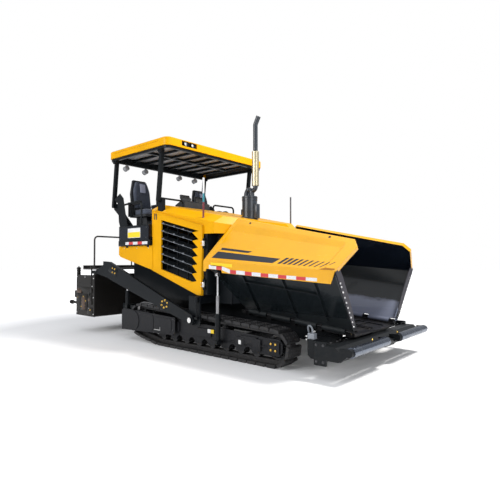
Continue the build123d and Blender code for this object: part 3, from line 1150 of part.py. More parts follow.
def auger():
    """Spreading screw: a shaft with a continuous helical flight, left side."""
    shaft = bar((AUGER_X, AUGER_IN, AUGER_Z), (AUGER_X, AUGER_OUT, AUGER_Z), AUGER_SHAFT_R)
    end_gap = 30
    pitch = (AUGER_OUT - AUGER_IN - 2 * end_gap) / AUGER_TURNS
    sections = []
    for index in range(AUGER_TURNS * AUGER_STEPS + 1):
        y_mid = AUGER_IN + end_gap + pitch * index / AUGER_STEPS
        angle = 2 * math.pi * index / AUGER_STEPS
        points = []
        for radius, side in ((AUGER_SHAFT_R - 6, -1), (AUGER_R, -1), (AUGER_R, 1), (AUGER_SHAFT_R - 6, 1)):
            x, z = AUGER_X + radius * math.cos(angle), AUGER_Z + radius * math.sin(angle)
            points.append((x, y_mid + side * AUGER_BLADE_T / 2, z))
        sections.append(make_face(Polyline(*points, close=True)))
    flights = [loft([low, high], ruled=True) for low, high in zip(sections, sections[1:])]
    return fuse(shaft, *flights)


def auger_carrier():
    """Gear case and hangers that hold the augers behind the chassis."""
    case = block(AUGER_X - 130, AUGER_X + 130, -(AUGER_IN - PIN_GAP), AUGER_IN - PIN_GAP, AUGER_Z - 130, AUGER_Z + 180)
    neck = block(AUGER_X + 120, CHASSIS_REAR_X - PIN_GAP, -80, 80, AUGER_Z + 60, AUGER_Z + 180)
    shapes = [case, neck]
    for sign in (-1, 1):
        y_low, y_high = AUGER_OUT + PIN_GAP, AUGER_OUT + 30
        hanger = prism_y(
            (
                (AUGER_X - 50, AUGER_Z - 60), (AUGER_X + 50, AUGER_Z - 60), (AUGER_X + 110, 480),
                (CHASSIS_REAR_X - PIN_GAP, 480), (CHASSIS_REAR_X - PIN_GAP, 545), (AUGER_X - 50, 600),
            ),
            sign * y_low, sign * y_high,
        )
        shapes.append(hanger)
        shapes.append(block(AUGER_X + 60, AUGER_X + 120, sign * (AUGER_IN - 20), sign * y_high, 538, 582))
    shapes.append(block(AUGER_X + 60, AUGER_X + 120, -(AUGER_IN - 19), AUGER_IN - 19, 520, 582))
    return fuse(*shapes)


def tow_arm():
    """Long side arm from the tow point back to the screed, left side."""
    outline = (
        (TOW_X + 50, TOW_Z - 70), (TOW_X + 78, TOW_Z), (TOW_X + 45, TOW_Z + 80),
        (-127, 843), (ARM_REAR_X, 1408), (-1930, 1420), (-1930, 1160), (-1600, 1050), (-538, 753), (0, 600),
    )
    arm = prism_y(outline, ARM_IN_Y, ARM_IN_Y + ARM_T)
    hole = lug(TOW_X, TOW_Z, TOW_PIN_R + PIN_GAP, ARM_IN_Y - 10, ARM_IN_Y + ARM_T + 10)
    rear = prism_y(
        (
            (-1560, 1180), (-1560, 1330), (-1900, 1400), (-2300, 1238), (-2430, 1238), (-2430, 1172), (-2240, 1172),
            (-1900, 1110),
        ),
        ARM_IN_Y - 40, ARM_IN_Y + 1,
    )
    pin = lug(LIFT_X, LIFT_TOP_Z, CYL_PIN_R, LIFT_Y - 30, ARM_IN_Y + 10)
    return fuse(arm, rear, pin) - hole


def screed():
    """Main screed body: a tall front plate, a box with sloped top, and guide tubes."""
    outline = (
        (SCREED_FRONT_X, SCREED_LOW + 20), (SCREED_FRONT_X, SCREED_HIGH), (SCREED_FRONT_X - 60, SCREED_HIGH),
        (SCREED_MID_X + 10, 900), (SCREED_MID_X + 10, SCREED_LOW), (SCREED_FRONT_X - 30, SCREED_LOW),
    )
    body = prism_y(outline, -SCREED_Y, SCREED_Y)
    inside = offset(make_face(Polyline(*[(x, 0, z) for x, z in outline], close=True)), amount=-SCREED_WALL)
    hollow = extrude(inside, amount=SCREED_Y - SCREED_WALL, dir=(0, 1, 0), both=True)
    middle = block(SCREED_REAR_X, SCREED_FRONT_X, -SCREED_WALL / 2, SCREED_WALL / 2, 0, SCREED_HIGH)
    shapes = [body - (hollow - middle)]
    for sign in (-1, 1):
        shapes.append(block(-2440, SCREED_FRONT_X - 20, sign * (ARM_IN_Y - 80), sign * (ARM_IN_Y - 40 - PIN_GAP), 1040, 1238))
    body = fuse(*shapes)
    for z_mid in GUIDE_HEIGHTS:
        carrier = block(GUIDE_X - GUIDE_BLOCK, SCREED_MID_X + 12, -GUIDE_BLOCK_Y, GUIDE_BLOCK_Y, z_mid - GUIDE_BLOCK, z_mid + GUIDE_BLOCK)
        tube = bar((GUIDE_X, -GUIDE_TUBE_Y, z_mid), (GUIDE_X, GUIDE_TUBE_Y, z_mid), GUIDE_TUBE_R)
        body = fuse(body, carrier, tube)
    return body


def screed_walkway():
    """Step plate over the screed with its toe board, legs and the rear guard rails."""
    rear, front = WALK_REAR_X, WALK_FRONT_X
    half = SCREED_Y - 90
    plate = block(rear, front, -half, half, WALK_Z - WALK_T, WALK_Z)
    toe = block(rear, rear + 8, -half, half, WALK_Z - WALK_T, WALK_Z + 60)
    shapes = [plate, toe]
    for y_mid in (-830, 0, 830):
        shapes.append(block(-2330, -2290, y_mid - 30, y_mid + 30, SCREED_HIGH + PIN_GAP, WALK_Z - 1))
    foot, rail_x = WALK_Z - 5, rear + 20
    corners = ((rail_x, -WALK_RAIL_Y, foot), (rail_x, -WALK_RAIL_Y, WALK_RAIL_HIGH), (rail_x, WALK_RAIL_Y, WALK_RAIL_HIGH),
               (rail_x, WALK_RAIL_Y, foot))
    shapes.append(tube_rail(corners, RAIL_R, 80))
    shapes.append(bar((rail_x, 0, foot), (rail_x, 0, WALK_RAIL_HIGH), RAIL_R * 0.8))
    return fuse(*shapes)


def lathe_fold(x, y, low, high):
    """One fold of a round bellows: two cones base to base."""
    middle = (low + high) / 2
    narrow = BELLOWS_R - 10
    profile = Polyline((0, low - 0.5), (narrow, low - 0.5), (BELLOWS_R, middle), (narrow, high + 0.5), (0, high + 0.5), close=True)
    upright = Plane(origin=(x, y, 0), x_dir=(1, 0, 0), z_dir=(0, -1, 0))
    return revolve(upright * make_face(profile), axis=Axis((x, y, 0), (0, 0, 1)))


def screed_extension():
    """Sliding rear screed box with its end plate and handle, left side."""
    y_in = 6.0
    outline = (
        (SCREED_REAR_X, SCREED_LOW + 20), (SCREED_REAR_X, 900), (SCREED_REAR_X + 60, EXTENSION_HIGH),
        (SCREED_MID_X - 8, EXTENSION_HIGH), (SCREED_MID_X - 8, SCREED_LOW), (SCREED_REAR_X + 30, SCREED_LOW),
    )
    box = prism_y(outline, y_in + 100, SCREED_Y - 2)
    inside = offset(make_face(Polyline(*[(x, 0, z) for x, z in outline], close=True)), amount=-SCREED_WALL)
    inside = extrude(inside, amount=SCREED_Y - SCREED_WALL, dir=(0, 1, 0))
    box = box - (inside - block(SCREED_REAR_X, SCREED_MID_X, 0, y_in + 100 + SCREED_WALL, 0, SCREED_HIGH))
    for z_mid in GUIDE_HEIGHTS:
        box = box + bar((GUIDE_X, y_in + 100, z_mid), (GUIDE_X, SCREED_Y - 2, z_mid), GUIDE_TUBE_R + SCREED_WALL)
    end = prism_y(
        ((SCREED_REAR_X, SCREED_LOW), (SCREED_REAR_X, EXTENSION_HIGH + 60), (SCREED_FRONT_X, SCREED_HIGH - 20),
         (SCREED_FRONT_X, SCREED_LOW)),
        SCREED_Y + 2, SCREED_Y + 18,
    )
    for x_mid in (BOLT_MID_X - BOLT_SPACING_X / 2, BOLT_MID_X + BOLT_SPACING_X / 2):
        for z_mid in (BOLT_MID_Z - BOLT_SPACING_Z / 2, BOLT_MID_Z + BOLT_SPACING_Z / 2):
            end = end - lug(x_mid, z_mid, BOLT_HOLE_R, SCREED_Y, SCREED_Y + 30)
    for z_mid in GUIDE_HEIGHTS:
        box = box - bar((GUIDE_X, 0, z_mid), (GUIDE_X, GUIDE_TUBE_Y + 30, z_mid), GUIDE_TUBE_R + SLIDE_GAP)
    web = block(SCREED_REAR_X + 10, SCREED_MID_X - 20, SCREED_Y - 3, SCREED_Y + 3, SCREED_LOW + 10, EXTENSION_HIGH - 10)
    handle_y = SCREED_Y - 60
    handle = bar((SCREED_REAR_X + 20, handle_y, HANDLE_Z), (HANDLE_REAR_X, handle_y, HANDLE_Z), HANDLE_R)
    knob = bar((HANDLE_REAR_X, handle_y, HANDLE_Z), (HANDLE_REAR_X + 70, handle_y, HANDLE_Z), HANDLE_R + 16)
    shapes = [box, end, web, handle, knob]
    x_mid, y_mid = SCREED_FRONT_X - 110, SCREED_Y + SPINDLE_R + 4
    shapes.append(bar((x_mid, y_mid, SCREED_LOW + 260), (x_mid, y_mid, SPINDLE_HIGH), SPINDLE_R))
    for low, high in ((470, 560), (240, 300)):
        shapes.append(block(x_mid - 34, x_mid + 34, SCREED_Y + 17, y_mid + SPINDLE_R + 4, SCREED_LOW + low, SCREED_LOW + high))
    shapes.append(bar((x_mid - 60, y_mid, SPINDLE_HIGH - 10), (x_mid + 60, y_mid, SPINDLE_HIGH - 10), 9))
    crank_x, crank_y = SCREED_REAR_X - BELLOWS_R - 6, SCREED_Y - 55
    crank_box = block(SCREED_REAR_X - 120, SCREED_REAR_X + 10, crank_y - 50, crank_y + 50, BELLOWS_LOW - 200, BELLOWS_LOW - 60)
    spindle = bar((crank_x, crank_y, BELLOWS_LOW - 70), (crank_x, crank_y, BELLOWS_HIGH), SPINDLE_R)
    shapes += [crank_box, spindle]
    pitch = (BELLOWS_HIGH - 20 - BELLOWS_LOW) / BELLOWS_FOLDS
    for index in range(BELLOWS_FOLDS):
        low = BELLOWS_LOW + index * pitch
        fold = lathe_fold(crank_x, crank_y, low, low + pitch)
        shapes.append(fold)
    return fuse(*shapes)


def lift_barrel():
    """Barrel of a screed lift cylinder, left side."""
    barrel = bar((LIFT_X, LIFT_Y, LIFT_LOW_Z + 34), (LIFT_X, LIFT_Y, 880), 38)
    bore = bar((LIFT_X, LIFT_Y, LIFT_LOW_Z + 45), (LIFT_X, LIFT_Y, 881), 20 + SLIDE_GAP)
    eye = lug(LIFT_X, LIFT_LOW_Z, 36, LIFT_Y - CYL_EYE_T / 2, LIFT_Y + CYL_EYE_T / 2)
    hole = lug(LIFT_X, LIFT_LOW_Z, CYL_PIN_R + PIN_GAP, LIFT_Y - 50, LIFT_Y + 50)
    return barrel - bore + (eye - hole) - hole


def lift_rod():
    """Rod of a screed lift cylinder with its eye, left side."""
    rod = bar((LIFT_X, LIFT_Y, 860), (LIFT_X, LIFT_Y, LIFT_TOP_Z - 10), 20)
    eye = lug(LIFT_X, LIFT_TOP_Z, 36, LIFT_Y - CYL_EYE_T / 2, LIFT_Y + CYL_EYE_T / 2)
    hole = lug(LIFT_X, LIFT_TOP_Z, CYL_PIN_R + 5, LIFT_Y - 50, LIFT_Y + 50)
    return rod + eye - hole


def roof_plan(inset, height):
    """Rounded plan outline of the roof, an inset inside its edge."""
    size_x, size_y = ROOF_FRONT_X - ROOF_REAR_X - 2 * inset, 2 * (ROOF_Y - inset)
    place = Pos((ROOF_REAR_X + ROOF_FRONT_X) / 2, 0, height)
    return place * RectangleRounded(size_x, size_y, ROOF_CORNER - inset)


def canopy_roof():
    """Hollow roof shell with rounded corners, a side groove and a lamp pocket."""
    shell = extrude(roof_plan(0, ROOF_LOW), amount=ROOF_HIGH - ROOF_LOW)
    shell = chamfer(shell.faces().sort_by(Axis.Z)[-1].edges(), ROOF_CHAMFER)
    hollow = extrude(roof_plan(ROOF_WALL, ROOF_LOW - 1), amount=ROOF_HIGH - ROOF_SKIN - ROOF_LOW + 1)
    roof = shell - hollow
    groove_x = (ROOF_REAR_X + 150, ROOF_FRONT_X - 230)
    groove = block(*groove_x, ROOF_Y - ROOF_GROOVE_DEEP, ROOF_Y + 1, ROOF_GROOVE_Z, ROOF_GROOVE_Z + ROOF_GROOVE_HIGH)
    for cut in both_sides(groove):
        roof = roof - cut
    pocket = block(ROOF_FRONT_X - LAMP_POCKET_DEEP, ROOF_FRONT_X + 1, *LAMP_POCKET, LAMP_POCKET_LOW, LAMP_POCKET_HIGH)
    return roof - pocket


def roof_frame():
    """Black frame under the roof: two side beams with ears for the posts, two cross beams and the ribs between."""
    height = FRAME_HIGH - FRAME_LOW
    ring = extrude(roof_plan(20, FRAME_LOW), amount=height) - extrude(roof_plan(20 + FRAME_WIDTH, FRAME_LOW), amount=height)
    inside = ROOF_WALL + PIN_GAP
    rear, front = ROOF_REAR_X + inside, ROOF_FRONT_X - inside
    reach = ROOF_Y - ROOF_CORNER
    beam = ring & block(ROOF_REAR_X, ROOF_FRONT_X, reach + SEAT_GAP, ROOF_Y, FRAME_LOW - 1, FRAME_HIGH + 1)
    for pivot_x in (FRONT_PIVOT_X + POST_LEAN_X, REAR_PIVOT_X + POST_LEAN_X):
        low_y, high_y = POST_Y + POST_SIZE / 2 + 0.5, POST_Y + POST_SIZE / 2 + 18
        ear = prism_y(
            ((pivot_x - 80, FRAME_HIGH), (pivot_x + 80, FRAME_HIGH), (pivot_x + 36, FRAME_LOW - 40), (pivot_x - 36, FRAME_LOW - 40)),
            low_y, high_y + 8,
        )
        beam = beam + ear + lug(pivot_x, POST_PIVOT_Z + POST_RISE, POST_PIN_R, POST_Y - POST_SIZE / 2, high_y)
    solids = both_sides(beam)
    for low, high in ((rear, rear + FRAME_WIDTH), (front - FRAME_WIDTH, front)):
        edge = ring & block(low - 60, high + 60, -reach, reach, FRAME_LOW - 1, FRAME_HIGH + 1)
        solids.append(edge + block(low, high, -reach, reach, FRAME_LOW + 20, FRAME_RIB_HIGH))
    middle = (rear + front) / 2
    rib_rear, rib_front = rear + FRAME_WIDTH + SEAT_GAP, front - FRAME_WIDTH - SEAT_GAP
    shapes = [block(middle - 20, middle + 20, -reach + 60, reach - 60, FRAME_RIB_LOW, FRAME_RIB_HIGH)]
    for index in range(FRAME_RIB_COUNT):
        y_mid = (index / (FRAME_RIB_COUNT - 1) - 0.5) * 2 * (reach - 120)
        shapes.append(block(rib_rear, rib_front, y_mid - 14, y_mid + 14, FRAME_RIB_LOW, FRAME_RIB_HIGH))
    return [*solids, fuse(*shapes)]


def roof_lamps():
    """Two round lamps in the roof's pocket and a spot lamp at each rear and middle frame member."""
    lamps = []
    back = ROOF_FRONT_X - LAMP_POCKET_DEEP + PIN_GAP
    for y_mid in LAMP_Y:
        ring = bar((back, y_mid, LAMP_Z), (ROOF_FRONT_X - 4, y_mid, LAMP_Z), LAMP_R)
        bowl = bar((ROOF_FRONT_X - 16, y_mid, LAMP_Z), (ROOF_FRONT_X, y_mid, LAMP_Z), LAMP_R - 7)
        lamps.append(ring - bowl)
    # x and y of each hanging spot lamp
    for x_mid, y_mid in ((-1745, 900), (-1745, -900), (-1745, 450), (-1745, -450)):
        stem = bar((x_mid, y_mid, FRAME_LOW - PIN_GAP), (x_mid, y_mid, FRAME_LOW - 55), 10)
        body = bar((x_mid - 30, y_mid, FRAME_LOW - 80), (x_mid + 42, y_mid, FRAME_LOW - 62), 50)
        bowl = bar((x_mid - 50, y_mid, FRAME_LOW - 85), (x_mid - 22, y_mid, FRAME_LOW - 78), 42)
        lamps.append(stem + body - bowl)
    return lamps


def canopy_post(pivot_x):
    """Leaning post with an eye at each end, left side."""
    top = (pivot_x + POST_LEAN_X, POST_Y, POST_PIVOT_Z + POST_RISE)
    post = square_bar((pivot_x, POST_Y, POST_PIVOT_Z), top, POST_SIZE)
    for x_mid, z_mid in ((pivot_x, POST_PIVOT_Z), (top[0], top[2])):
        post = post + lug(x_mid, z_mid, POST_SIZE / 2, POST_Y - POST_SIZE / 2, POST_Y + POST_SIZE / 2)
        post = post - lug(x_mid, z_mid, POST_PIN_R + PIN_GAP, POST_Y - POST_SIZE, POST_Y + POST_SIZE)
    return post


def canopy_bases():
    """Fixed brackets that carry the canopy posts, left side."""
    front = block(FRONT_PIVOT_X - 60, FRONT_PIVOT_X + 60, POST_Y - POST_SIZE / 2 - 70, POST_Y - POST_SIZE / 2 - 1,
                  2200, POST_PIVOT_Z + 40)
    front = front - hood_solid(0)
    front_pin = lug(FRONT_PIVOT_X, POST_PIVOT_Z, POST_PIN_R, POST_Y - POST_SIZE / 2 - 5, POST_Y + POST_SIZE / 2)
    rear = prism_y(
        (
            (-1360, PLATFORM_SIDE_HIGH + PIN_GAP), (-1200, PLATFORM_SIDE_HIGH + PIN_GAP), (-1700, 2530), (-1820, 2530),
            (-1820, 2430),
        ),
        POST_Y - POST_SIZE / 2 - 30, POST_Y - POST_SIZE / 2 - 1,
    )
    rear_pin = lug(REAR_PIVOT_X, POST_PIVOT_Z, POST_PIN_R, POST_Y - POST_SIZE / 2 - 5, POST_Y + POST_SIZE / 2)
    return [fuse(front, front_pin), fuse(rear, rear_pin)]


def build():
    """Write every node."""
    os.makedirs("parts", exist_ok=True)
    save("chassis", [chassis() + beam_pivot(), *both_sides(outrigger())])
    save("engine", engine())
    save("track_frames", both_sides(track_frame()))
    save("sprockets", both_sides(sprocket()))
    save("idlers", both_sides(idler()))
    save("track_rollers", *[both_sides(roller) for roller in track_rollers()])
    save("drive_covers", both_sides(drive_cover()))
    save("tow_guides", both_sides(tow_guide()))
    save("levelling_cylinders", both_sides(levelling_cylinder()))
    save("hood", hood())
    save("rear_panels", both_sides(rear_panel()))
    save("body_posts", *[both_sides(post) for post in body_posts()])
    save("platform", platform())
    save("console", console())
    save("seat_frames", both_sides(seat_frame()))
    save("seat_cushions", *[both_sides(pad) for pad in seat_cushions()])
    save("handrails", *[both_sides(rail) for rail in handrails()])
    save("exhaust", exhaust())
    save("heat_shield", heat_shield())
    save("marker_rods", marker_rods())
    save("hopper_floor", hopper_floor())
    save("auger_carrier", auger_carrier())
    save("canopy_bases", *[both_sides(base) for base in canopy_bases()])
    save("push_beam", push_beam())
    save("canopy_front_posts", both_sides(canopy_post(FRONT_PIVOT_X)))
    save("canopy_rear_posts", both_sides(canopy_post(REAR_PIVOT_X)))
    save("canopy_roof", canopy_roof())
    save("roof_frame", roof_frame())
    save("roof_lamps", roof_lamps())
    save("conveyor", both_sides(conveyor()))
    save("tow_arms", both_sides(tow_arm()))
    save("screed", screed())
    save("screed_walkway", screed_walkway())
    for name, sign in SIDES:
        save("track_" + name, on_side(track(), sign))
        save("engine_door_" + name, on_side(engine_door(), sign))
        save("door_louvres_" + name, on_side(door_louvres(), sign))
        save("wing_plate_" + name, on_side(wing_plate(), sign))
        save("wing_panel_" + name, on_side(wing_panel(), sign))
        save("wing_barrel_" + name, on_side(wing_barrel(), sign))
        save("wing_stage_" + name, on_side(wing_stage(), sign))
        save("wing_rod_" + name, on_side(wing_rod(), sign))
        save("push_roller_" + name, on_side(push_roller(), sign))
        save("auger_" + name, on_side(auger(), sign))
        save("screed_extension_" + name, on_side(screed_extension(), sign))
        save("lift_barrel_" + name, on_side(lift_barrel(), sign))
        save("lift_rod_" + name, on_side(lift_rod(), sign))


build()
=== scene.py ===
import math
from functools import partialmethod

import bmesh
import bpy
from mathutils import Matrix, Vector


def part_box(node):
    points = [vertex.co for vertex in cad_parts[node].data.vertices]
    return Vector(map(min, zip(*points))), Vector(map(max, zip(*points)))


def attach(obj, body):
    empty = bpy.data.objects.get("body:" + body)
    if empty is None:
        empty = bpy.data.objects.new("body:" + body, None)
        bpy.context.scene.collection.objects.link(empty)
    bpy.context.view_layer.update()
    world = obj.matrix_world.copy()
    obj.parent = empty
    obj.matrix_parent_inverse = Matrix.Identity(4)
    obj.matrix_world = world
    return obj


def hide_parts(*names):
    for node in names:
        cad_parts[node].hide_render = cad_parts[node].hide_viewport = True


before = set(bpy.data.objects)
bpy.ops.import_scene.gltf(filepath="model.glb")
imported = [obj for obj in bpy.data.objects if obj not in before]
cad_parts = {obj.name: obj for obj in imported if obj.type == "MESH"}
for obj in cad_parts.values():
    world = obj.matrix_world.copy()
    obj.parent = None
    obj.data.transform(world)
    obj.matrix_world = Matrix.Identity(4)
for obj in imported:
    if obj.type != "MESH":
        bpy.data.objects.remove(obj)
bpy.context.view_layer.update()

# The machine's own numbers, in metres, as the solids have them
BODY_Y = 1.150
COVER_FACE_Y = 1.212
ARM_FACE_Y = 1.274
SCREED_END_Y = 1.268
CREASE = ((0.849, 1.426), (3.105, 1.250))
SKIN_CREASE = ((0.849, 1.434), (3.097, 1.308))
LIP = ((1.159, 2.089), (3.150, 1.692))
CREASE_Y, LIP_Y, SKIRT_Y = 1.240, 0.800, 1.246
SKIRT_FOOT = ((0.849, 1.274), (3.037, 1.152))
FRONT_CORNER_T, FRONT_CORNER_X, FRONT_LIP_X = 0.80, 3.208, 3.128
FLANGE_DEPTH = 0.050
HINGE = ((1.265, 0.660), (3.055, 0.505))
HINGE_Y = 0.690
LOUVRE_REAR_X, LOUVRE_FRONT_X, LOUVRE_TOP, LOUVRE_PITCH, LOUVRE_SLOPE = -0.300, 0.488, 2.071, 0.131, -0.244
HOOD_TOP = ((-0.600, 2.440), (0.950, 2.130))
DOOR_PIN = (0.742, 1.142)
BEAM_FACE_X, ROLLER_X, ROLLER_Z = 3.1615, 3.273, 0.364
SEAT_X, SEAT_Y = -1.180, 0.780
BACK_LEAN = Matrix.Rotation(math.radians(-9), 3, "Y")
BACK_FOOT = Vector((SEAT_X - 0.230, 0, 2.270))
SILENCER, STACK = (0.790, -0.100), (0.920, -0.100)
SIDES = (("right", -1), ("left", 1))


# Shader sums

class Value:
    """A socket of a material that can stand in sums."""

    def __init__(self, net, socket):
        self.net, self.socket = net, socket

    def maths(self, kind, *others):
        return self.net.node("Math", [self, *others], operation=kind)

    __add__ = __radd__ = partialmethod(maths, "ADD")
    __sub__ = partialmethod(maths, "SUBTRACT")
    __mul__ = __rmul__ = partialmethod(maths, "MULTIPLY")
    __truediv__ = partialmethod(maths, "DIVIDE")
    __mod__ = partialmethod(maths, "FLOORED_MODULO")
    low, high = partialmethod(maths, "MINIMUM"), partialmethod(maths, "MAXIMUM")
    size = partialmethod(maths, "ABSOLUTE")

    def __rsub__(self, other):
        return (self * -1) + other

    def step(self, start, end):
        """From 0 at start to 1 at end, held outside them."""
        return self.net.node("MapRange", [self, start, end, 0.0, 1.0], clamp=True)


class Tree:
    """The nodes of a material or of the world."""

    def __init__(self, tree):
        self.tree = tree

    def node(self, kind, inputs=(), out=0, **settings):
        """Any shader node: its inputs by number or name, the output wanted and its settings."""
        made = self.tree.nodes.new("ShaderNode" + kind)
        for key, value in settings.items():
            setattr(made, key, value)
        items = inputs.items() if isinstance(inputs, dict) else enumerate(inputs)
        for key, value in items:
            self.put(made.inputs[key], value)
        return Value(self, made.outputs[out])

    def put(self, socket, value):
        if isinstance(value, Value):
            self.tree.links.new(value.socket, socket)
        else:
            socket.default_value = value

    def parts(self, vector):
        return [self.node("SeparateXYZ", [vector], out=axis) for axis in "XYZ"]

    def ray(self, kind):
        """1 for rays of a kind."""
        return self.node("LightPath", out=f"Is {kind} Ray")


class Net(Tree):
    """One material and its nodes."""

    def __init__(self, name):
        self.material = bpy.data.materials.new(name)
        self.material.use_nodes = True
        super().__init__(self.material.node_tree)
        self.shader = self.tree.nodes["Principled BSDF"]
        self.place = self.node("TexCoord", out="Object")
        self.x, self.y, self.z = self.parts(self.place)
        _, self.ny, self.nz = self.parts(self.node("TexCoord", out="Normal"))

    def level(self, start, end):
        """1 on faces that look up, 0 on steep ones."""
        return self.parts(self.node("NewGeometry", out="Normal"))[2].step(start, end)

    def inward(self, across, up):
        """1 on faces that look back from a wing's outer side, whose outward normal is (0, across, up)."""
        side = self.y.step(-0.001, 0.001) * 2.0 - 1.0
        return (self.ny * side * across + self.nz * up).step(-0.5, -0.8)

    def noise(self, scale, detail=3.0, rough=0.55, stretch=None):
        where = self.place
        if stretch:
            where = self.node("VectorMath", [where, stretch], operation="MULTIPLY")
        settings = {"Vector": where, "Scale": scale, "Detail": detail, "Roughness": rough}
        return self.node("TexNoise", settings)

    def mix(self, share, low, high):
        """Colour from low to high by a share."""
        low, high = (colour if isinstance(colour, Value) else (*colour, 1.0) for colour in (low, high))
        return self.node("Mix", {0: share, 6: low, 7: high}, out=2, data_type="RGBA")

    def finish(self, **sockets):
        for name, value in sockets.items():
            name = name.replace("_", " ")
            if name in ("Base Color", "Emission Color") and not isinstance(value, Value):
                value = (*value, 1.0)
            self.put(self.shader.inputs[name], value)
        return self.material

    def bump(self, height, strength, distance, edge=0.0):
        inputs = {"Height": height, "Strength": strength, "Distance": distance}
        if edge:
            inputs["Normal"] = self.node("Bevel", {"Radius": edge}, samples=4)
        return self.node("Bump", inputs)


def shaded(colour, share, lift=0.0):
    """A colour made darker or lighter by a share."""
    return tuple(min(1, c * share + lift) for c in colour)


def painted(name, colour, rough, coat=0.0, dust=0.25, edge=0.004, peel=0.12, metallic=0.0, chips=None,
            dust_colour=(0.15, 0.13, 0.11), shine=0.3, other=None, dull=None):
    """Sprayed paint: cloudy tone, orange peel, dust low down and on level places, fine scuffs.

    Other changes its colour by place, and it is dull below a height.
    """
    net = Net(name)
    net.shader.inputs["Specular IOR Level"].default_value = shine
    cloud = net.noise(1.7, 4)
    fine = net.noise(34, 5, 0.7)
    scuff = net.noise(5, 6, 0.75, (1.0, 1.0, 9.0)).step(0.60, 0.74)
    tone = net.mix(cloud.step(0.3, 0.7), shaded(colour, 0.93), shaded(colour, 1.05))
    up = net.level(0.55, 0.98)
    low = net.z.step(1.0, 0.15)
    dirt = ((low * 0.75 + up * 0.35) * fine.step(0.36, 0.66) * dust + scuff * dust * 0.16).low(0.8)
    base = net.mix(dirt, tone, dust_colour)
    if chips:
        worn = net.noise(19, 6, 0.8).step(0.66, 0.70)
        base = net.mix(worn * 0.8, base, chips)
    if other:
        base = other(net, base)
    roughness = (cloud * 0.10 + scuff * 0.12 + dirt * 0.5 + (rough - 0.05)).low(0.95)
    if dull:
        share = net.z.step(dull + 0.02, dull - 0.02)
        roughness, coat = roughness.high(share * 0.6), (1.0 - share) * coat
    grain = net.noise(420, 2)
    return net.finish(
        Base_Color=base, Roughness=roughness, Metallic=metallic, Coat_Weight=coat, Coat_Roughness=0.06,
        Normal=net.bump(grain * 0.6 + fine * 0.4, peel, 0.0006, edge),
    )


def bare_metal(name, colour, rough, brushed=(1, 1, 1), stain=0.3, stain_colour=(0.06, 0.047, 0.036),
               metallic=1.0, edge=0.003, other=None):
    """Bare or worn metal: brushed streaks, stains and small pits."""
    net = Net(name)
    streak = net.noise(70, 3, 0.6, brushed)
    blotch = net.noise(6.5, 6, 0.7)
    pits = net.noise(160, 2)
    tone = net.mix(streak.step(0.35, 0.68), shaded(colour, 0.78), colour)
    share = blotch.step(0.48, 0.70) * stain
    base = net.mix(share, tone, stain_colour)
    if other:
        base = other(net, base)
    return net.finish(
        Base_Color=base, Metallic=(1.0 - share * 0.8) * metallic,
        Roughness=(streak * 0.14 + share * 0.4 + (rough - 0.05)).low(0.95),
        Normal=net.bump(streak * 0.5 + pits * 0.5, 0.18, 0.0008, edge),
    )


def rubber(name, colour, rough=0.7, scale=240):
    """Matt rubber or moulded plastic with a fine leathery grain and rubbed places."""
    net = Net(name)
    cells = net.node("TexVoronoi", {"Vector": net.place, "Scale": scale})
    rub = net.noise(8, 5, 0.7).step(0.45, 0.75)
    base = net.mix(rub * 0.5, colour, shaded(colour, 1.9, 0.015))
    bump = net.bump(cells, 0.25, 0.0005, 0.002)
    return net.finish(Base_Color=base, Roughness=rough - rub * 0.14, Normal=bump)


def woven(name, colour, thread=900):
    """Woven seat cloth: over and under threads, a slight fade and a soft sheen."""
    net = Net(name)
    across, along = (net.x + net.z) * thread, (net.y + net.z * 0.3) * thread
    weave = across.maths("SINE") * along.maths("SINE")
    fade = net.noise(9, 4).step(0.35, 0.7)
    base = net.mix(weave.step(-0.4, 0.9) * 0.35 + fade * 0.3, colour, shaded(colour, 1.6, 0.02))
    bump = net.bump(weave, 0.35, 0.0007)
    return net.finish(Base_Color=base, Roughness=0.86, Sheen_Weight=0.25, Normal=bump)


def reflective(name, colour):
    """Marking tape: small sealed cells and a clear top film."""
    net = Net(name)
    where = {"Vector": net.place, "Scale": 170.0}
    cells = net.node("TexVoronoi", where, feature="DISTANCE_TO_EDGE")
    soil = net.noise(22, 4).step(0.55, 0.8) * 0.25
    base = net.mix(cells.step(0.02, 0.10), shaded(colour, 0.72), colour)
    base = net.mix(soil, base, (0.22, 0.20, 0.17))
    bump = net.bump(cells, 0.1, 0.0004)
    return net.finish(Base_Color=base, Roughness=0.32 + soil, Coat_Weight=0.4, Normal=bump)


def glass(name, colour, rough=0.05):
    """Dark or clear cover glass with a light haze of dust."""
    net = Net(name)
    haze = net.noise(30, 5).step(0.45, 0.8)
    base = net.mix(haze * 0.25, colour, (0.35, 0.35, 0.34))
    bump = net.bump(net.noise(12), 0.02, 0.001)
    return net.finish(Base_Color=base, Roughness=haze * 0.2 + rough, Coat_Weight=0.6, Normal=bump)


def perforated(name, colour):
    """Brushed sheet with rows of small round holes round an upright tube."""
    net = Net(name)
    radius, pitch = 0.060, 0.016
    around = (net.y - STACK[1]).maths("ARCTAN2", net.x - STACK[0]) * (radius / pitch)
    up = net.z / pitch
    a = (around % 1.0 - 0.5)
    b = (up % 1.0 - 0.5)
    hole = (a * a + b * b).maths("SQRT").step(0.30, 0.24)
    streak = net.noise(60, 3, 0.6, (1, 1, 14))
    base = net.mix(streak.step(0.35, 0.7), shaded(colour, 0.8), colour)
    base = net.mix(hole, base, (0.03, 0.028, 0.025))
    bump = net.bump(hole * -1.0, 0.5, 0.001)
    return net.finish(Base_Color=base, Metallic=0.9 - hole * 0.9, Roughness=streak * 0.15 + 0.26, Normal=bump)


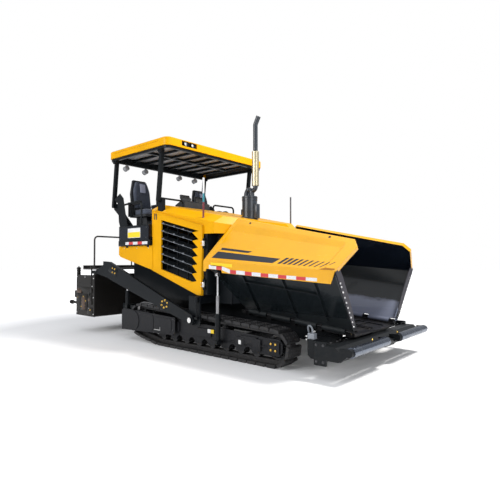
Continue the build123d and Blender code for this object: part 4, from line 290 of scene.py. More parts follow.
def treaded(name, colour):
    """Dark paint on raised-bar step plate, worn bright on the bars."""
    net = Net(name)
    pitch = 0.045
    u, v = net.x / pitch, net.y / pitch
    odd = ((u.maths("FLOOR") + v.maths("FLOOR")) % 2.0)
    a, b = u % 1.0 - 0.5, v % 1.0 - 0.5
    one = (a.size() * 3.6 + b.size() * 1.1)
    two = (a.size() * 1.1 + b.size() * 3.6)
    bar = (one * odd + two * (1.0 - odd)).step(0.62, 0.45)
    bar = bar * net.level(0.8, 0.95)
    soil = net.noise(14, 5).step(0.4, 0.7)
    base = net.mix(soil * 0.45, colour, (0.16, 0.14, 0.12))
    base = net.mix(bar * soil * 0.5, base, (0.30, 0.29, 0.28))
    bump = net.bump(bar, 0.8, 0.003, 0.003)
    return net.finish(Base_Color=base, Roughness=0.5 - bar * 0.15 + soil * 0.15, Normal=bump)


def banded(name, bands):
    """Gloss paint in level bands: (height where a colour ends, colour), from the ground up."""
    net = Net(name)
    base = net.mix(0.0, bands[0][1], bands[0][1])
    for (height, _), (_, colour) in zip(bands, bands[1:]):
        base = net.mix(net.z.step(height - 0.003, height + 0.003), base, colour)
    cloud = net.noise(25, 4)
    base = net.mix(cloud.step(0.5, 0.8) * 0.15, base, (0.2, 0.18, 0.16))
    bump = net.bump(net.noise(300), 0.08, 0.0005)
    return net.finish(Base_Color=base, Roughness=cloud * 0.15 + 0.3, Normal=bump)


def black_inside(net, base):
    """The wing's upper panel is black on its hopper side."""
    return net.mix(net.inward(0.78, 0.62), base, (0.006, 0.008, 0.011))


def polished_with_painted_sheen(net, base):
    """The asphalt polishes the lower half of the wing's hopper side; its bluish grey, lighter higher up, is a
    painted sheen of the sky's reflection.
    """
    wave = net.noise(2.2, 4, 0.6, (1.0, 1.0, 2.0)) * 0.16
    height = net.z + net.x * 0.085 + wave
    low = height.step(1.145, 1.10) * net.inward(0.80, -0.60)
    # bluish grey: painted reflection of the sky on the polished steel, made lighter higher up
    base = net.mix(low, base, (0.135, 0.150, 0.205))
    return net.mix(low * (net.z.step(0.55, 1.0)), base, (0.215, 0.235, 0.310))


def black_edges(net, base):
    """Floor plates are bare between the wings, and the hinge rods beside them are painted."""
    return net.mix(net.y.size().step(0.640, 0.644), base, (0.012, 0.012, 0.013))


YELLOW = (0.775, 0.375, 0.002)
LOOKS = {
    "yellow": painted("yellow_paint", YELLOW, 0.30, 0.0, 0.05, 0.005, 0.05, shine=0.12),
    "wing_yellow": painted(
        "wing_paint", YELLOW, 0.24, 0.15, 0.04, 0.005, 0.04, shine=0.6, other=black_inside),
    "black": painted("black_paint", (0.007, 0.009, 0.011), 0.34, 0.04, 0.07, 0.004, shine=0.12),
    "gloss_black": painted("hopper_black", (0.005, 0.008, 0.014), 0.18, 0.2, 0.06, 0.004, 0.04),
    "wing_black": painted(
        # the hopper side's lower half is polished steel with a painted bluish sheen, lighter higher up
        "wing_black", (0.007, 0.010, 0.012), 0.20, 0.2, 0.05, 0.004, 0.04, other=polished_with_painted_sheen, dull=0.70),
    "frame_black": painted("frame_black", (0.010, 0.011, 0.014), 0.40, 0.0, 0.10, 0.004, 0.2, shine=0.2),
    "shoe": painted(
        "track_shoes", (0.024, 0.025, 0.028), 0.44, 0.0, 0.30, 0.006, 0.5, 0.35, (0.12, 0.115, 0.11)),
    "cast": painted("cast_iron", (0.028, 0.029, 0.032), 0.48, 0.0, 0.18, 0.004, 0.6, 0.3),
    "screed": painted(
        "screed_paint", (0.013, 0.012, 0.011), 0.38, 0.05, 0.12, 0.004, 0.3, 0.1, (0.10, 0.062, 0.042),
        shine=0.2),
    "steel": bare_metal("worn_steel", (0.36, 0.36, 0.37), 0.34),
    "floor_steel": bare_metal(
        "floor_steel", (0.060, 0.060, 0.064), 0.36, (1, 12, 1), 0.55, other=black_edges),
    # the blue tint in the rollers' steel colour is a painted reflection of the sky
    "steel_with_painted_sky_tint": bare_metal("steel_with_painted_sky_tint", (0.16, 0.185, 0.235), 0.24, (9, 1, 9), 0.25),
    "chrome": bare_metal("rod_chrome", (0.80, 0.80, 0.81), 0.10, (3, 3, 12), 0.06),
    "shield": perforated("shield_metal", (0.80, 0.70, 0.46)),
    "stack": painted("stack_black", (0.030, 0.037, 0.046), 0.30, 0.3, 0.05, 0.003, 0.2),
    "cloth": woven("seat_cloth", (0.040, 0.050, 0.075)),
    "shell": rubber("seat_shell", (0.014, 0.016, 0.019), 0.6),
    "rubber": rubber("hose_rubber", (0.012, 0.012, 0.013), 0.55, 500),
    "tread": treaded("step_plate", (0.014, 0.014, 0.016)),
    "white_tape": reflective("white_tape", (0.78, 0.79, 0.82)),
    "red_tape": reflective("red_tape", (0.62, 0.03, 0.035)),
    "label": painted("label_yellow", (0.90, 0.62, 0.02), 0.3, 0.3, 0.05, 0.0, 0.03),
    "white": painted("white_paint", (0.74, 0.74, 0.73), 0.35, 0.2, 0.08, 0.002, 0.06),
    "flange_black": painted("flange_black", (0.026, 0.024, 0.032), 0.5, 0.0, 0.1, 0.003, 0.15),
    "fitting_brown": bare_metal(
        "fitting_brown", (0.13, 0.085, 0.062), 0.38, (1, 1, 1), 0.5, metallic=0.6),
    # painted shadow: a darker yellow film for the shade in the recess at the front end of a wing's crease
    "painted_shadow_patch": painted("painted_crease_shadow", (0.30, 0.12, 0.004), 0.5, 0.0, 0.1, 0.0, 0.05),
    "slate": painted("slate_band", (0.020, 0.024, 0.032), 0.30, 0.3, 0.05, 0.0, 0.04),
    "grey": painted("lip_grey", (0.36, 0.37, 0.39), 0.38, 0.1, 0.10, 0.001, 0.08),
    # light grey: the real colour of the side valves and pipes; on the louvre blades it is a painted highlight
    # along their top edges
    "lip": painted("light_grey_and_edge_highlight", (0.24, 0.26, 0.29), 0.35, 0.1, 0.10, 0.001, 0.08),
    "dark_rod": painted("far_rod", (0.09, 0.09, 0.10), 0.35, 0.1, 0.10, 0.001, 0.08),
    "pale_panel": painted("pale_panel", (0.42, 0.45, 0.58), 0.6, 0.0, 0.05, 0.0, 0.3),
    # pale grey sheet under the roof's ribs: painted light, for the light the roof's underside reflects
    "painted_roof_light": painted("roof_painted_light", (0.30, 0.30, 0.31), 0.5, 0.0, 0.05, 0.0, 0.1),
    "zinc": bare_metal("zinc_bolts", (0.86, 0.55, 0.10), 0.30, (1, 1, 1), 0.10, metallic=0.6),
    "bolt": bare_metal("bright_bolts", (0.80, 0.80, 0.80), 0.28, (1, 1, 1), 0.12, metallic=0.5),
    "dark_bolt": bare_metal("dark_bolts", (0.08, 0.08, 0.085), 0.42, (1, 1, 1), 0.4, metallic=0.7),
    "screen": glass("display_glass", (0.012, 0.016, 0.022)),
    "lens": glass("lamp_lens", (0.62, 0.64, 0.66), 0.08),
    "rods": banded(
        "marker_bands", ((2.36, (0.16, 0.02, 0.03)), (2.50, (0.02, 0.22, 0.28)), (9, (0.75, 0.75, 0.76)))),
    # dark brown: painted shade in the engine bay, seen between the door post and the wing
    "inside": painted("bay_painted_shade", (0.045, 0.026, 0.014), 0.6, 0.0, 0.3, 0.0, 0.3),
}

# Which look each solid takes, with * for right and left
NODE_LOOKS = {
    "black": ("chassis", "tow_guides", "body_posts", "handrails", "canopy_bases", "canopy_front_posts",
              "canopy_rear_posts", "levelling_cylinders", "door_louvres_*", "roof_frame", "tow_arms",
              "push_beam", "lift_barrel_*", "wing_barrel_*", "auger_carrier"),
    "frame_black": ("track_frames", "drive_covers"),
    "gloss_black": ("platform",),
    "wing_black": ("wing_plate_*",),
    "yellow": ("hood", "rear_panels", "canopy_roof", "engine_door_*"),
    "wing_yellow": ("wing_panel_*",),
    "shoe": ("track_*",),
    "cast": ("sprockets", "idlers", "track_rollers", "engine"),
    "steel": ("auger_*", "wing_stage_*"),
    "floor_steel": ("hopper_floor", "conveyor"),
    "steel_with_painted_sky_tint": ("push_roller_*",),
    "chrome": ("wing_rod_*", "lift_rod_*"),
    "grey": ("roof_lamps",),
    "shield": ("heat_shield",),
    "stack": ("exhaust",),
    "screed": ("screed", "screed_extension_*"),
    "tread": ("screed_walkway",),
    "shell": ("seat_frames", "console"),
    "cloth": ("seat_cushions",),
    "rods": ("marker_rods",),
}
for look, names in NODE_LOOKS.items():
    for name in {name.replace("*", side) for name in names for side, _ in SIDES}:
        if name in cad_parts:
            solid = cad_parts[name]
            solid.data.materials.clear()
            solid.data.materials.append(LOOKS[look])


# Pieces


def placed(name, data):
    """New object in the scene."""
    made = bpy.data.objects.new(name, data)
    bpy.context.scene.collection.objects.link(made)
    return made


def meshed(name, bm):
    """New object in the scene with what was modelled."""
    mesh = bpy.data.meshes.new(name)
    bm.to_mesh(mesh)
    bm.free()
    return placed(name, mesh)


class Piece:
    """One mesh of the scene: its look, the body it rides on and its forms."""

    def __init__(self, name, body, look):
        self.name, self.body, self.look = name, body, look
        self.bm = bmesh.new()

    def round_edges(self, edges, bevel, segments):
        bmesh.ops.bevel(self.bm, geom=edges, offset=bevel, offset_type="OFFSET", affect="EDGES",
                        segments=segments, profile=0.5, material=-1, clamp_overlap=True)

    def form(self, verts, bevel=0.0, segments=2):
        """Round the edges of what was just made."""
        if bevel:
            edges = {edge for vert in verts for edge in vert.link_edges}
            sharp = [edge for edge in edges if len(edge.link_faces) == 2 and edge.calc_face_angle(0) > 0.5]
            self.round_edges(sharp, bevel, segments)

    def box(self, low, high, bevel=0.003, turn=None):
        """Box between two corners, with rounded edges."""
        low, high = Vector(low), Vector(high)
        size = Matrix.Diagonal((*[abs(b - a) for a, b in zip(low, high)], 1.0))
        place = Matrix.Translation((low + high) / 2) @ (turn.to_4x4() if turn else Matrix.Identity(4)) @ size
        made = bmesh.ops.create_cube(self.bm, size=1.0, matrix=place)
        self.form(made["verts"], bevel)

    def rod(self, start, end, radius, end_radius=None, segments=16, bevel=0.0):
        """Round bar between two points, or a cone."""
        start, end = Vector(start), Vector(end)
        along = end - start
        turn = along.to_track_quat("Z", "Y").to_matrix().to_4x4()
        made = bmesh.ops.create_cone(
            self.bm, cap_ends=True, cap_tris=False, segments=segments, radius1=radius,
            radius2=radius if end_radius is None else end_radius, depth=along.length,
            matrix=Matrix.Translation((start + end) / 2) @ turn)
        if bevel:
            edges = {edge for vert in made["verts"] for edge in vert.link_edges}
            rims = [edge for edge in edges if edge.calc_face_angle(0) > 1.0]
            self.round_edges(rims, bevel, 2)

    def bolt(self, place, out, size=0.012, washer=True):
        """Hexagon bolt head on its washer."""
        place, out = Vector(place), Vector(out).normalized()
        if washer:
            self.rod(place, place + out * size * 0.25, size * 1.35, size * 1.25, 14)
        self.rod(place + out * size * 0.2, place + out * size * 0.85, size, size, 6)
        self.rod(place + out * size * 0.85, place + out * size * 1.0, size * 0.92, size * 0.7, 6)

    def plate(self, points, thick, bevel=0.0):
        """Flat plate from its corner points, as thick as asked along its normal."""
        verts = [self.bm.verts.new(point) for point in points]
        face = self.bm.faces.new(verts)
        face.normal_update()
        out = face.normal * thick
        made = bmesh.ops.extrude_face_region(self.bm, geom=[face])
        top = [item for item in made["geom"] if isinstance(item, bmesh.types.BMVert)]
        bmesh.ops.translate(self.bm, vec=out, verts=top)
        self.form(verts + top, bevel, 1)

    def pipe(self, points, radius, segments=10, rounds=3):
        """Rigid tube through points, its corners rounded."""
        line = [Vector(point) for point in points]
        for _ in range(rounds):
            finer = [line[0]]
            for a, b in zip(line, line[1:]):
                finer += [a.lerp(b, 0.25), a.lerp(b, 0.75)]
            line = finer + [line[-1]]
        side = None
        rings = []
        for index, point in enumerate(line):
            ahead = (line[min(index + 1, len(line) - 1)] - line[max(index - 1, 0)]).normalized()
            if side is None:
                side = ahead.orthogonal().normalized()
            side = (side - ahead * side.dot(ahead)).normalized()
            other = ahead.cross(side)
            ring = []
            for step in range(segments):
                angle = 2 * math.pi * step / segments
                away = side * math.cos(angle) + other * math.sin(angle)
                ring.append(self.bm.verts.new(point + away * radius))
            rings.append(ring)
        for low, high in zip(rings, rings[1:]):
            for step in range(segments):
                after = (step + 1) % segments
                self.bm.faces.new((low[step], low[after], high[after], high[step]))
        self.bm.faces.new(list(reversed(rings[0])))
        self.bm.faces.new(rings[-1])

    def turned(self, profile, start, axis, steps=24):
        """Turned form: (radius, along) profile spun round an axis."""
        axis = Vector(axis).normalized()
        side = axis.orthogonal().normalized()
        start = Vector(start)
        verts = [self.bm.verts.new(start + axis * along + side * radius) for radius, along in profile]
        edges = [self.bm.edges.new(pair) for pair in zip(verts, verts[1:])]
        bmesh.ops.spin(self.bm, geom=verts + edges, cent=start, axis=axis, dvec=(0, 0, 0), angle=2 * math.pi,
                       steps=steps, use_merge=True, use_duplicate=False)

    def sheet(self, rows):
        """Closed sheet from a grid of (under, upper) pairs of points."""
        rows = [[[self.bm.verts.new(point) for point in pair] for pair in row] for row in rows]
        up, across = len(rows) - 1, len(rows[0]) - 1
        for j in range(up):
            for i in range(across):
                quad = (rows[j][i], rows[j][i + 1], rows[j + 1][i + 1], rows[j + 1][i])
                self.bm.faces.new([corner[1] for corner in quad])
                self.bm.faces.new([corner[0] for corner in reversed(quad)])
        border = rows[0] + [row[-1] for row in rows[1:]] + rows[-1][-2::-1]
        border += [row[0] for row in rows[-2:0:-1]]
        for one, two in zip(border, border[1:] + border[:1]):
            self.bm.faces.new((one[0], two[0], two[1], one[1]))

    def mirrored(self):
        """The same forms again on the machine's other side."""
        geometry = self.bm.verts[:] + self.bm.edges[:] + self.bm.faces[:]
        made = bmesh.ops.duplicate(self.bm, geom=geometry)
        for item in made["geom"]:
            if isinstance(item, bmesh.types.BMVert):
                item.co.y = -item.co.y
        return self

    def done(self, smooth=0.6):
        bmesh.ops.remove_doubles(self.bm, verts=self.bm.verts, dist=1e-6)
        bmesh.ops.recalc_face_normals(self.bm, faces=self.bm.faces)
        for face in self.bm.faces:
            face.smooth = True
        for edge in self.bm.edges:
            edge.smooth = edge.calc_face_angle(0) < smooth
        made = meshed(self.name, self.bm)
        made.data.materials.append(LOOKS[self.look])
        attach(made, self.body)
        return made


def line_at(line, x):
    (x_a, z_a), (x_b, z_b) = line
    return z_a + (x - x_a) / (x_b - x_a) * (z_b - z_a)


def panel_front(t):
    """Where a wing's panel ends in front, at a share t from crease to lip."""
    if t < FRONT_CORNER_T:
        return SKIN_CREASE[1][0] + (FRONT_CORNER_X - SKIN_CREASE[1][0]) * t / FRONT_CORNER_T
    return FRONT_CORNER_X + (FRONT_LIP_X - FRONT_CORNER_X) * (t - FRONT_CORNER_T) / (1 - FRONT_CORNER_T)


def panel_rear(t):
    return SKIN_CREASE[0][0] + (LIP[0][0] - SKIN_CREASE[0][0]) * t


def on_panel(x, t, lift, sign):
    """Point of a wing's upper panel: station x, share t from crease to lip, lifted off its outer face."""
    low, high = line_at(SKIN_CREASE, x), line_at(LIP, x)
    slope = Vector((0, LIP_Y - CREASE_Y, high - low))
    out = slope.cross(Vector((1, 0, -0.06 - 0.14 * t)))
    out = (out if out.y > 0 else -out).normalized()
    point = Vector((x, CREASE_Y, low)) + slope * t + out * lift
    return Vector((point.x, point.y * sign, point.z))


def ramp(value, marks):
    """Value carried along straight runs between (place, height) marks."""
    if value <= marks[0][0]:
        return marks[0][1]
    for (a, low), (b, high) in zip(marks, marks[1:]):
        if value <= b:
            return low + (high - low) * (value - a) / (b - a)
    return marks[-1][1]


# the pressed field: (share from crease to lip, depth), then how much of its border is left at a distance
# from the front and the rear edge
FIELD_ACROSS = ((0.0, 0.004), (0.045, 0.004), (0.065, -0.006), (0.70, -0.010), (0.865, 0.006), (1.0, 0.006))
FIELD_FRONT = ((0.0, 1.0), (0.150, 1.0), (0.185, 0.0))
FIELD_REAR = ((0.0, 1.0), (0.05, 1.0), (0.07, 0.0))


def panel_lift(x, t):
    """How far the panel's outer face stands off its plane."""
    border = max(ramp(panel_front(t) - x, FIELD_FRONT), ramp(x - panel_rear(t), FIELD_REAR))
    return ramp(t, FIELD_ACROSS) * (1 - border) + 0.005 * border


def panel_patch(piece, corners, sign, lift=0.0012, across=6, up=2):
    """Thin film on a wing's panel between four (x, t) corners: low rear, low front, high front, high rear."""
    (a, b, c, d) = corners
    rows = []
    for j in range(up + 1):
        row = []
        for i in range(across + 1):
            s, r = i / across, j / up
            x = (a[0] * (1 - s) + b[0] * s) * (1 - r) + (d[0] * (1 - s) + c[0] * s) * r
            t = (a[1] * (1 - s) + b[1] * s) * (1 - r) + (d[1] * (1 - s) + c[1] * s) * r
            here = panel_lift(x, t)
            row.append([on_panel(x, t, here + depth, sign) for depth in (-0.002, lift)])
        rows.append(row)
    piece.sheet(rows)


def wing_skin(name, sign):
    """Pressed yellow panel of a wing with its flanges and skirt, and the black sheet inside it."""
    body = "wing_" + name
    shares = (0, 0.022, 0.045, 0.055, 0.065, 0.2, 0.35, 0.5, 0.6, 0.69, 0.705, 0.78, 0.855, 0.868,
              0.93, 0.975, 1.0)
    steps = [0.0, 0.04, 0.055, 0.07] + [0.16 + 0.1 * index for index in range(18)]
    skin = Piece("wing_skin_" + name, body, "wing_yellow")
    lining = Piece("wing_lining_" + name, body, "gloss_black")

    def station(t, index):
        """Places from the rear edge to the front one, close together at the pressed borders."""
        rear, front = panel_rear(t), panel_front(t)
        tail = (front - 0.185, front - 0.1675, front - 0.150, front - 0.03, front - 0.004, front)
        if index >= len(steps):
            return tail[index - len(steps)]
        return rear + steps[index] * (tail[0] - rear) / (steps[-1] + 0.1)

    count = len(steps) + 6
    rows = []
    for t in shares:
        row = []
        for index in range(count):
            x = station(t, index)
            lift = panel_lift(x, t)
            if index == count - 1 or t == 1.0:
                lift -= 0.004
            row.append([on_panel(x, t, depth, sign) for depth in (lift - 0.006, lift)])
        rows.append(row)
    skin.sheet(rows)
    # flanges along the front edge, the lip and the rear edge, and the lining between them
    fronts = [(panel_front(t) - 0.0005, t) for t in (0.0, 0.2, 0.4, 0.6, FRONT_CORNER_T, 0.9, 1.0)]
    fronts_in = [(panel_front(t) - 0.009, t) for t in (0.0, 0.2, 0.4, 0.6, FRONT_CORNER_T, 0.9, 0.985)]
    lips = [(LIP[0][0] + index * (FRONT_LIP_X - LIP[0][0]) / 12, 1.0) for index in range(13)]
    rears = [(panel_rear(t) + 0.0005, t) for t in (0.0, 0.25, 0.5, 0.75, 1.0)]
    lips_in, rears_in = [(x, 0.985) for x, t in lips], [(x + 0.009, t) for x, t in rears]
    for outer, inner in ((fronts, fronts_in), (lips, lips_in), (rears, rears_in)):
        skin.sheet([[[on_panel(x, t, depth, sign) for x, t in pair] for pair in zip(inner, outer)]
                    for depth in (-FLANGE_DEPTH, 0.002)])
    rows = []
    for t in (0.01, 0.25, 0.5, 0.75, 0.98):
        row = []
        for index in range(13):
            x = panel_rear(t) + 0.012 + index * (panel_front(t) - panel_rear(t) - 0.024) / 12
            row.append([on_panel(x, t, depth, sign) for depth in (-0.026, -0.018)])
        rows.append(row)
    lining.sheet(rows)
    # skirt, with its foot raised over the wing's cylinder
    foot = ((0.849, 0.0), (0.897, 0.0), (0.909, 0.040), (1.230, 0.040), (1.245, 0.0), (3.037, 0.0))
    spots = sorted({x for x, _ in foot} | {1.45 + 0.2 * index for index in range(8)})
    inner, outer = (CREASE_Y - 0.006) * sign, SKIRT_Y * sign
    rows = [[], []]
    for x in spots:
        top_x = x if x < 3.0 else SKIN_CREASE[1][0]
        low, high = line_at(SKIRT_FOOT, x) + ramp(x, foot), line_at(SKIN_CREASE, top_x) + 0.004
        rows[0].append([(x, y, low) for y in (inner, outer)])
        rows[1].append([(top_x, y, high) for y in (inner, outer)])
    skin.sheet(rows)
    rows = [[], []]
    for x in (0.90, 1.5, 2.1, 2.7, 3.085):
        for row, z in ((rows[0], line_at(CREASE, x) - 0.03), (rows[1], line_at(SKIN_CREASE, x) - 0.004)):
            row.append([(x, y * sign, z) for y in (CREASE_Y - 0.012, CREASE_Y - 0.0055)])
    lining.sheet(rows)
    skin = skin.done(0.05)
    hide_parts("wing_panel_" + name)
    lining.done()
    line = Piece("wing_crease_line_" + name, body, "grey")
    corners = ((0.90, 0.008), (3.07, 0.008), (3.07, 0.002), (0.90, 0.002))
    line.plate([(x, 1.2275 * sign, line_at(SKIN_CREASE, x) - drop) for x, drop in corners], 0.001)
    line.done()


def wing_marks(name, sign):
    """Tape, bands, label, slots and a painted shadow patch on a wing's yellow panel."""
    body = "wing_" + name

    def film(piece, x_a, x_b, low_a, low_b, high_a, high_b):
        """Strip on the skirt between two stations."""
        y = SKIRT_Y * sign
        piece.plate([(x_a, y, low_a), (x_b, y, low_b), (x_b, y, high_b), (x_a, y, high_a)], -0.0012 * sign)

    def tape_low(x):
        """The tape keeps off the skirt's foot, which is raised at the rear."""
        foot = line_at(SKIRT_FOOT, x) + (0.043 if x < 1.245 else 0.003)
        return max(line_at(tape_foot, x), foot)

    # where the tape changes colour, white first
    changes = (0.973, 1.128, 1.243, 1.407, 1.525, 1.689, 1.815, 1.972, 2.104, 2.264, 2.398, 2.548, 2.691,
               2.852)
    tape_foot = ((1.016, 1.254), (2.838, 1.178))
    white = Piece("tape_white_" + name, body, "white_tape")
    red = Piece("tape_red_" + name, body, "red_tape")
    for index, (x_a, x_b) in enumerate(zip(changes, changes[1:])):
        high = 0.058 - 0.018 * (x_a - changes[0]) / (changes[-1] - changes[0])
        low_a, low_b = tape_low(x_a), tape_low(x_b)
        film(red if index % 2 else white, x_a, x_b, low_a, low_b, low_a + high, low_b + high)
    white.done()
    red.done()
    band = Piece("wing_band_" + name, body, "slate")
    panel_patch(band, ((0.985, 0.075), (2.140, 0.075), (2.230, 0.20), (1.060, 0.22)), sign, across=12)
    panel_patch(band, ((1.090, 0.26), (1.640, 0.255), (1.700, 0.30), (1.110, 0.31)), sign, across=8, up=1)
    # slanted bars that thin out towards the front
    for index in range(10):
        start, width = 2.215 + index * 0.080, 0.050 - index * 0.0042
        end, slant = start + width, 0.10
        corners = ((start, 0.075), (end, 0.076), (end + slant, 0.24), (start + slant, 0.24))
        panel_patch(band, corners, sign, across=1)
    band.done()
    label = Piece("wing_label_" + name, body, "label")
    x_a, x_b = 1.010, 1.445
    z_a, z_b = line_at(SKIN_CREASE, x_a) - 0.070, line_at(SKIN_CREASE, x_b) - 0.066
    film(label, x_a, x_b, z_a, z_b, z_a + 0.050, z_b + 0.046)
    label.done()
    slots = Piece("wing_slots_" + name, body, "rubber")
    for x in (1.436, 2.790):
        centre, out = on_panel(x, 0.93, 0.004, sign), on_panel(x, 0.93, 0.009, sign)
        slots.rod(centre, out, 0.019, 0.016, 16)
    slots.done()
    # a dark amber film at the front end of the crease: a painted shadow of the recess there, not a part of
    # its own
    painted_shadow_patch = Piece("wing_painted_shadow_" + name, body, "painted_shadow_patch")
    corners = ((2.86, 0.005), (3.075, 0.005), (3.090, 0.055), (2.96, 0.060))
    panel_patch(painted_shadow_patch, corners, sign, 0.0008, across=4, up=1)
    painted_shadow_patch.done()


def wing_iron(name, sign):
    """Front flange of a wing's black plate with the bolts along its outer edge."""
    body = "wing_" + name
    foot, head = HINGE[1], (3.100, 1.290)
    inward = Vector((0, -(head[1] - foot[1]), CREASE_Y - HINGE_Y)).normalized()

    def edge(share, depth, lift=0.0):
        """Point at a share of the front edge, a depth in from its outer face."""
        place = Vector((foot[0] + share * (head[0] - foot[0]) + lift, HINGE_Y + share * (CREASE_Y - HINGE_Y),
                        foot[1] + share * (head[1] - foot[1])))
        place += inward * depth
        return Vector((place.x, place.y * sign, place.z))

    flange = Piece("wing_front_flange_" + name, body, "flange_black")
    widths = ((0.10, 0.062), (0.25, 0.100), (0.55, 0.118), (0.85, 0.118), (1.0, 0.105))
    flange.sheet([[[edge(share, depth, lift) for lift in (-0.004, 0.006)] for depth in (0.001, width)]
                  for share, width in widths])
    flange.done()
    bolts = Piece("wing_edge_bolts_" + name, body, "bolt")
    for share in (0.100, 0.180, 0.260, 0.342, 0.424, 0.508, 0.592, 0.676, 0.762, 0.818):
        bolts.bolt(edge(share, 0.016, 0.006), (1, 0, 0.05), 0.0125, False)
    bolts.done()


for side_name, side_sign in SIDES:
    wing_skin(side_name, side_sign)
    wing_marks(side_name, side_sign)
    wing_iron(side_name, side_sign)


def louvre_trim(name, sign):
    """Light grey strips with their clips on the vent's blades, a painted highlight along the blades' top
    edges; the door's slots, hinges and raised rim.
    """
    body = "engine_door_" + name
    # the light grey strips on the blades' top edges are a painted highlight
    lips = Piece("louvre_edge_highlights_" + name, body, "lip")
    rear, front = LOUVRE_REAR_X + 0.004, LOUVRE_FRONT_X - 0.002
    fall = (front - rear) * LOUVRE_SLOPE
    for row in range(6):
        z = LOUVRE_TOP - row * LOUVRE_PITCH + 0.004 * LOUVRE_SLOPE
        outer, inner = BODY_Y + 0.001, BODY_Y - 0.012
        lips.plate([(rear, outer * sign, z - 0.001), (front, outer * sign, z + fall - 0.001),
                    (front, inner * sign, z + fall + 0.006), (rear, inner * sign, z + 0.006)], 0.004)
        for share in (0.06, 0.42, 0.72):
            x = rear + share * (front - rear)
            mid = z + (x - rear) * LOUVRE_SLOPE
            foot, head = ((x, y * sign, mid + 0.008) for y in (inner, BODY_Y + 0.004))
            lips.rod(foot, head, 0.016, 0.012, 12)
    lips.done()
    iron = Piece("door_ironwork_" + name, body, "bolt")
    for z in (1.060, 1.700):
        for offset in (-0.026, 0.026):
            iron.bolt((0.705, (BODY_Y + 0.0005) * sign, z + offset), (0, sign, 0), 0.008)
        foot, head = ((DOOR_PIN[0], DOOR_PIN[1] * sign, z + end) for end in (-0.038, 0.038))
        iron.rod(foot, head, 0.0215, segments=20, bevel=0.002)
    iron.done()
    latch = Piece("door_slots_" + name, body, "shell")
    for x in (-0.490, -0.440):
        latch.box((x, (BODY_Y + 0.0005) * sign, 2.140), (x + 0.022, (BODY_Y + 0.005) * sign, 2.245), 0.002)
    latch.done()
    # the raised rim that runs round the door's edge
    rim = Piece("door_rim_" + name, body, "yellow")
    corners = [(-0.534, 1.268), (0.612, 0.899), (0.719, 0.899), (0.719, 1.978), (-0.534, 2.290)]
    for (x_a, z_a), (x_b, z_b) in zip(corners, corners[1:] + corners[:1]):
        a, b = Vector((x_a, 0, z_a)), Vector((x_b, 0, z_b))
        along = (b - a).normalized()
        inward = Vector((-along.z, 0, along.x)) * 0.016
        y_low, y_high = (BODY_Y - 0.001) * sign, (BODY_Y + 0.004) * sign
        quad = [a, b, b + inward - along * 0.016, a + inward + along * 0.016]
        low = [rim.bm.verts.new((p.x, y_low, p.z)) for p in quad]
        high = [rim.bm.verts.new((p.x, y_high, p.z)) for p in quad]
        rim.bm.faces.new(high)
        for k in range(4):
            rim.bm.faces.new((low[k], low[(k + 1) % 4], high[(k + 1) % 4], high[k]))
    rim.done(0.3)


for side_name, side_sign in SIDES:
    louvre_trim(side_name, side_sign)


def side_bolts(name, body, look, y, size, places):
    """Bolts at (x, z) places on both of the machine's sides."""
    bolts = Piece(name, body, look)
    for x, z in places:
        bolts.bolt((x, y, z), (0, 1, 0), size)
    bolts.mirrored().done()


def platform_trim():
    """Bars, tape, blank sign and bolts on the platform's sides."""
    bar = Piece("platform_bar", "root", "black")
    bar.box((-1.515, 1.1955, 1.700), (-0.548, 1.207, 1.800), 0.004)
    bar.box((-1.500, 1.1955, 2.050), (-0.620, 1.203, 2.068), 0.003)
    bar.box((-0.600, 1.1500, 1.705), (-0.548, 1.2000, 1.795), 0.003)
    for x in (-1.305, -0.671):
        bar.box((x - 0.030, 1.1500, 1.672), (x + 0.030, 1.1600, 1.7015), 0.002)
    # broad brackets under the rear posts' feet
    outline = ((-1.690, 2.600), (-1.560, 2.505), (-1.528, 2.160), (-1.490, 2.0705), (-1.250, 2.0705),
               (-1.385, 2.600), (-1.500, 2.700))
    bar.plate([(x, 1.1850, z) for x, z in outline], -0.010, 0.003)
    bar.rod((-1.545, 1.178, 2.600), (-1.545, 1.196, 2.600), 0.034, 0.030, 20, 0.002)
    bar.rod((-1.430, 1.178, 2.180), (-1.430, 1.196, 2.180), 0.026, 0.023, 20, 0.002)
    bar.mirrored().done()
    # x where the tape's colours change
    edges = (-1.281, -1.175, -1.045, -0.905, -0.770, -0.613)
    for look, first in (("white_tape", 0), ("red_tape", 1)):
        tape = Piece("platform_tape_" + look, "root", look)
        for index in range(first, 5, 2):
            tape.box((edges[index], 1.2068, 1.722), (edges[index + 1], 1.2080, 1.772), 0)
        tape.mirrored().done()
    sign_back = Piece("platform_sign", "root", "white")
    sign_back.box((-1.225, 1.1955, 1.846), (-0.838, 1.1985, 2.020), 0.001)
    sign_back.mirrored().done()
    sign_front = Piece("platform_sign_field", "root", "label")
    sign_front.box((-1.217, 1.1980, 1.854), (-0.846, 1.1992, 1.948), 0)
    sign_front.mirrored().done()
    places = ((-1.47, 1.84), (-1.47, 2.02), (-0.66, 1.84), (-0.66, 2.02))
    side_bolts("platform_bolts", "root", "dark_bolt", 1.1955, 0.010, places)
    places = ((-1.40, 1.660), (-1.00, 1.660), (-0.66, 1.660))
    side_bolts("panel_bolts", "root", "bolt", BODY_Y + 0.0003, 0.008, places)


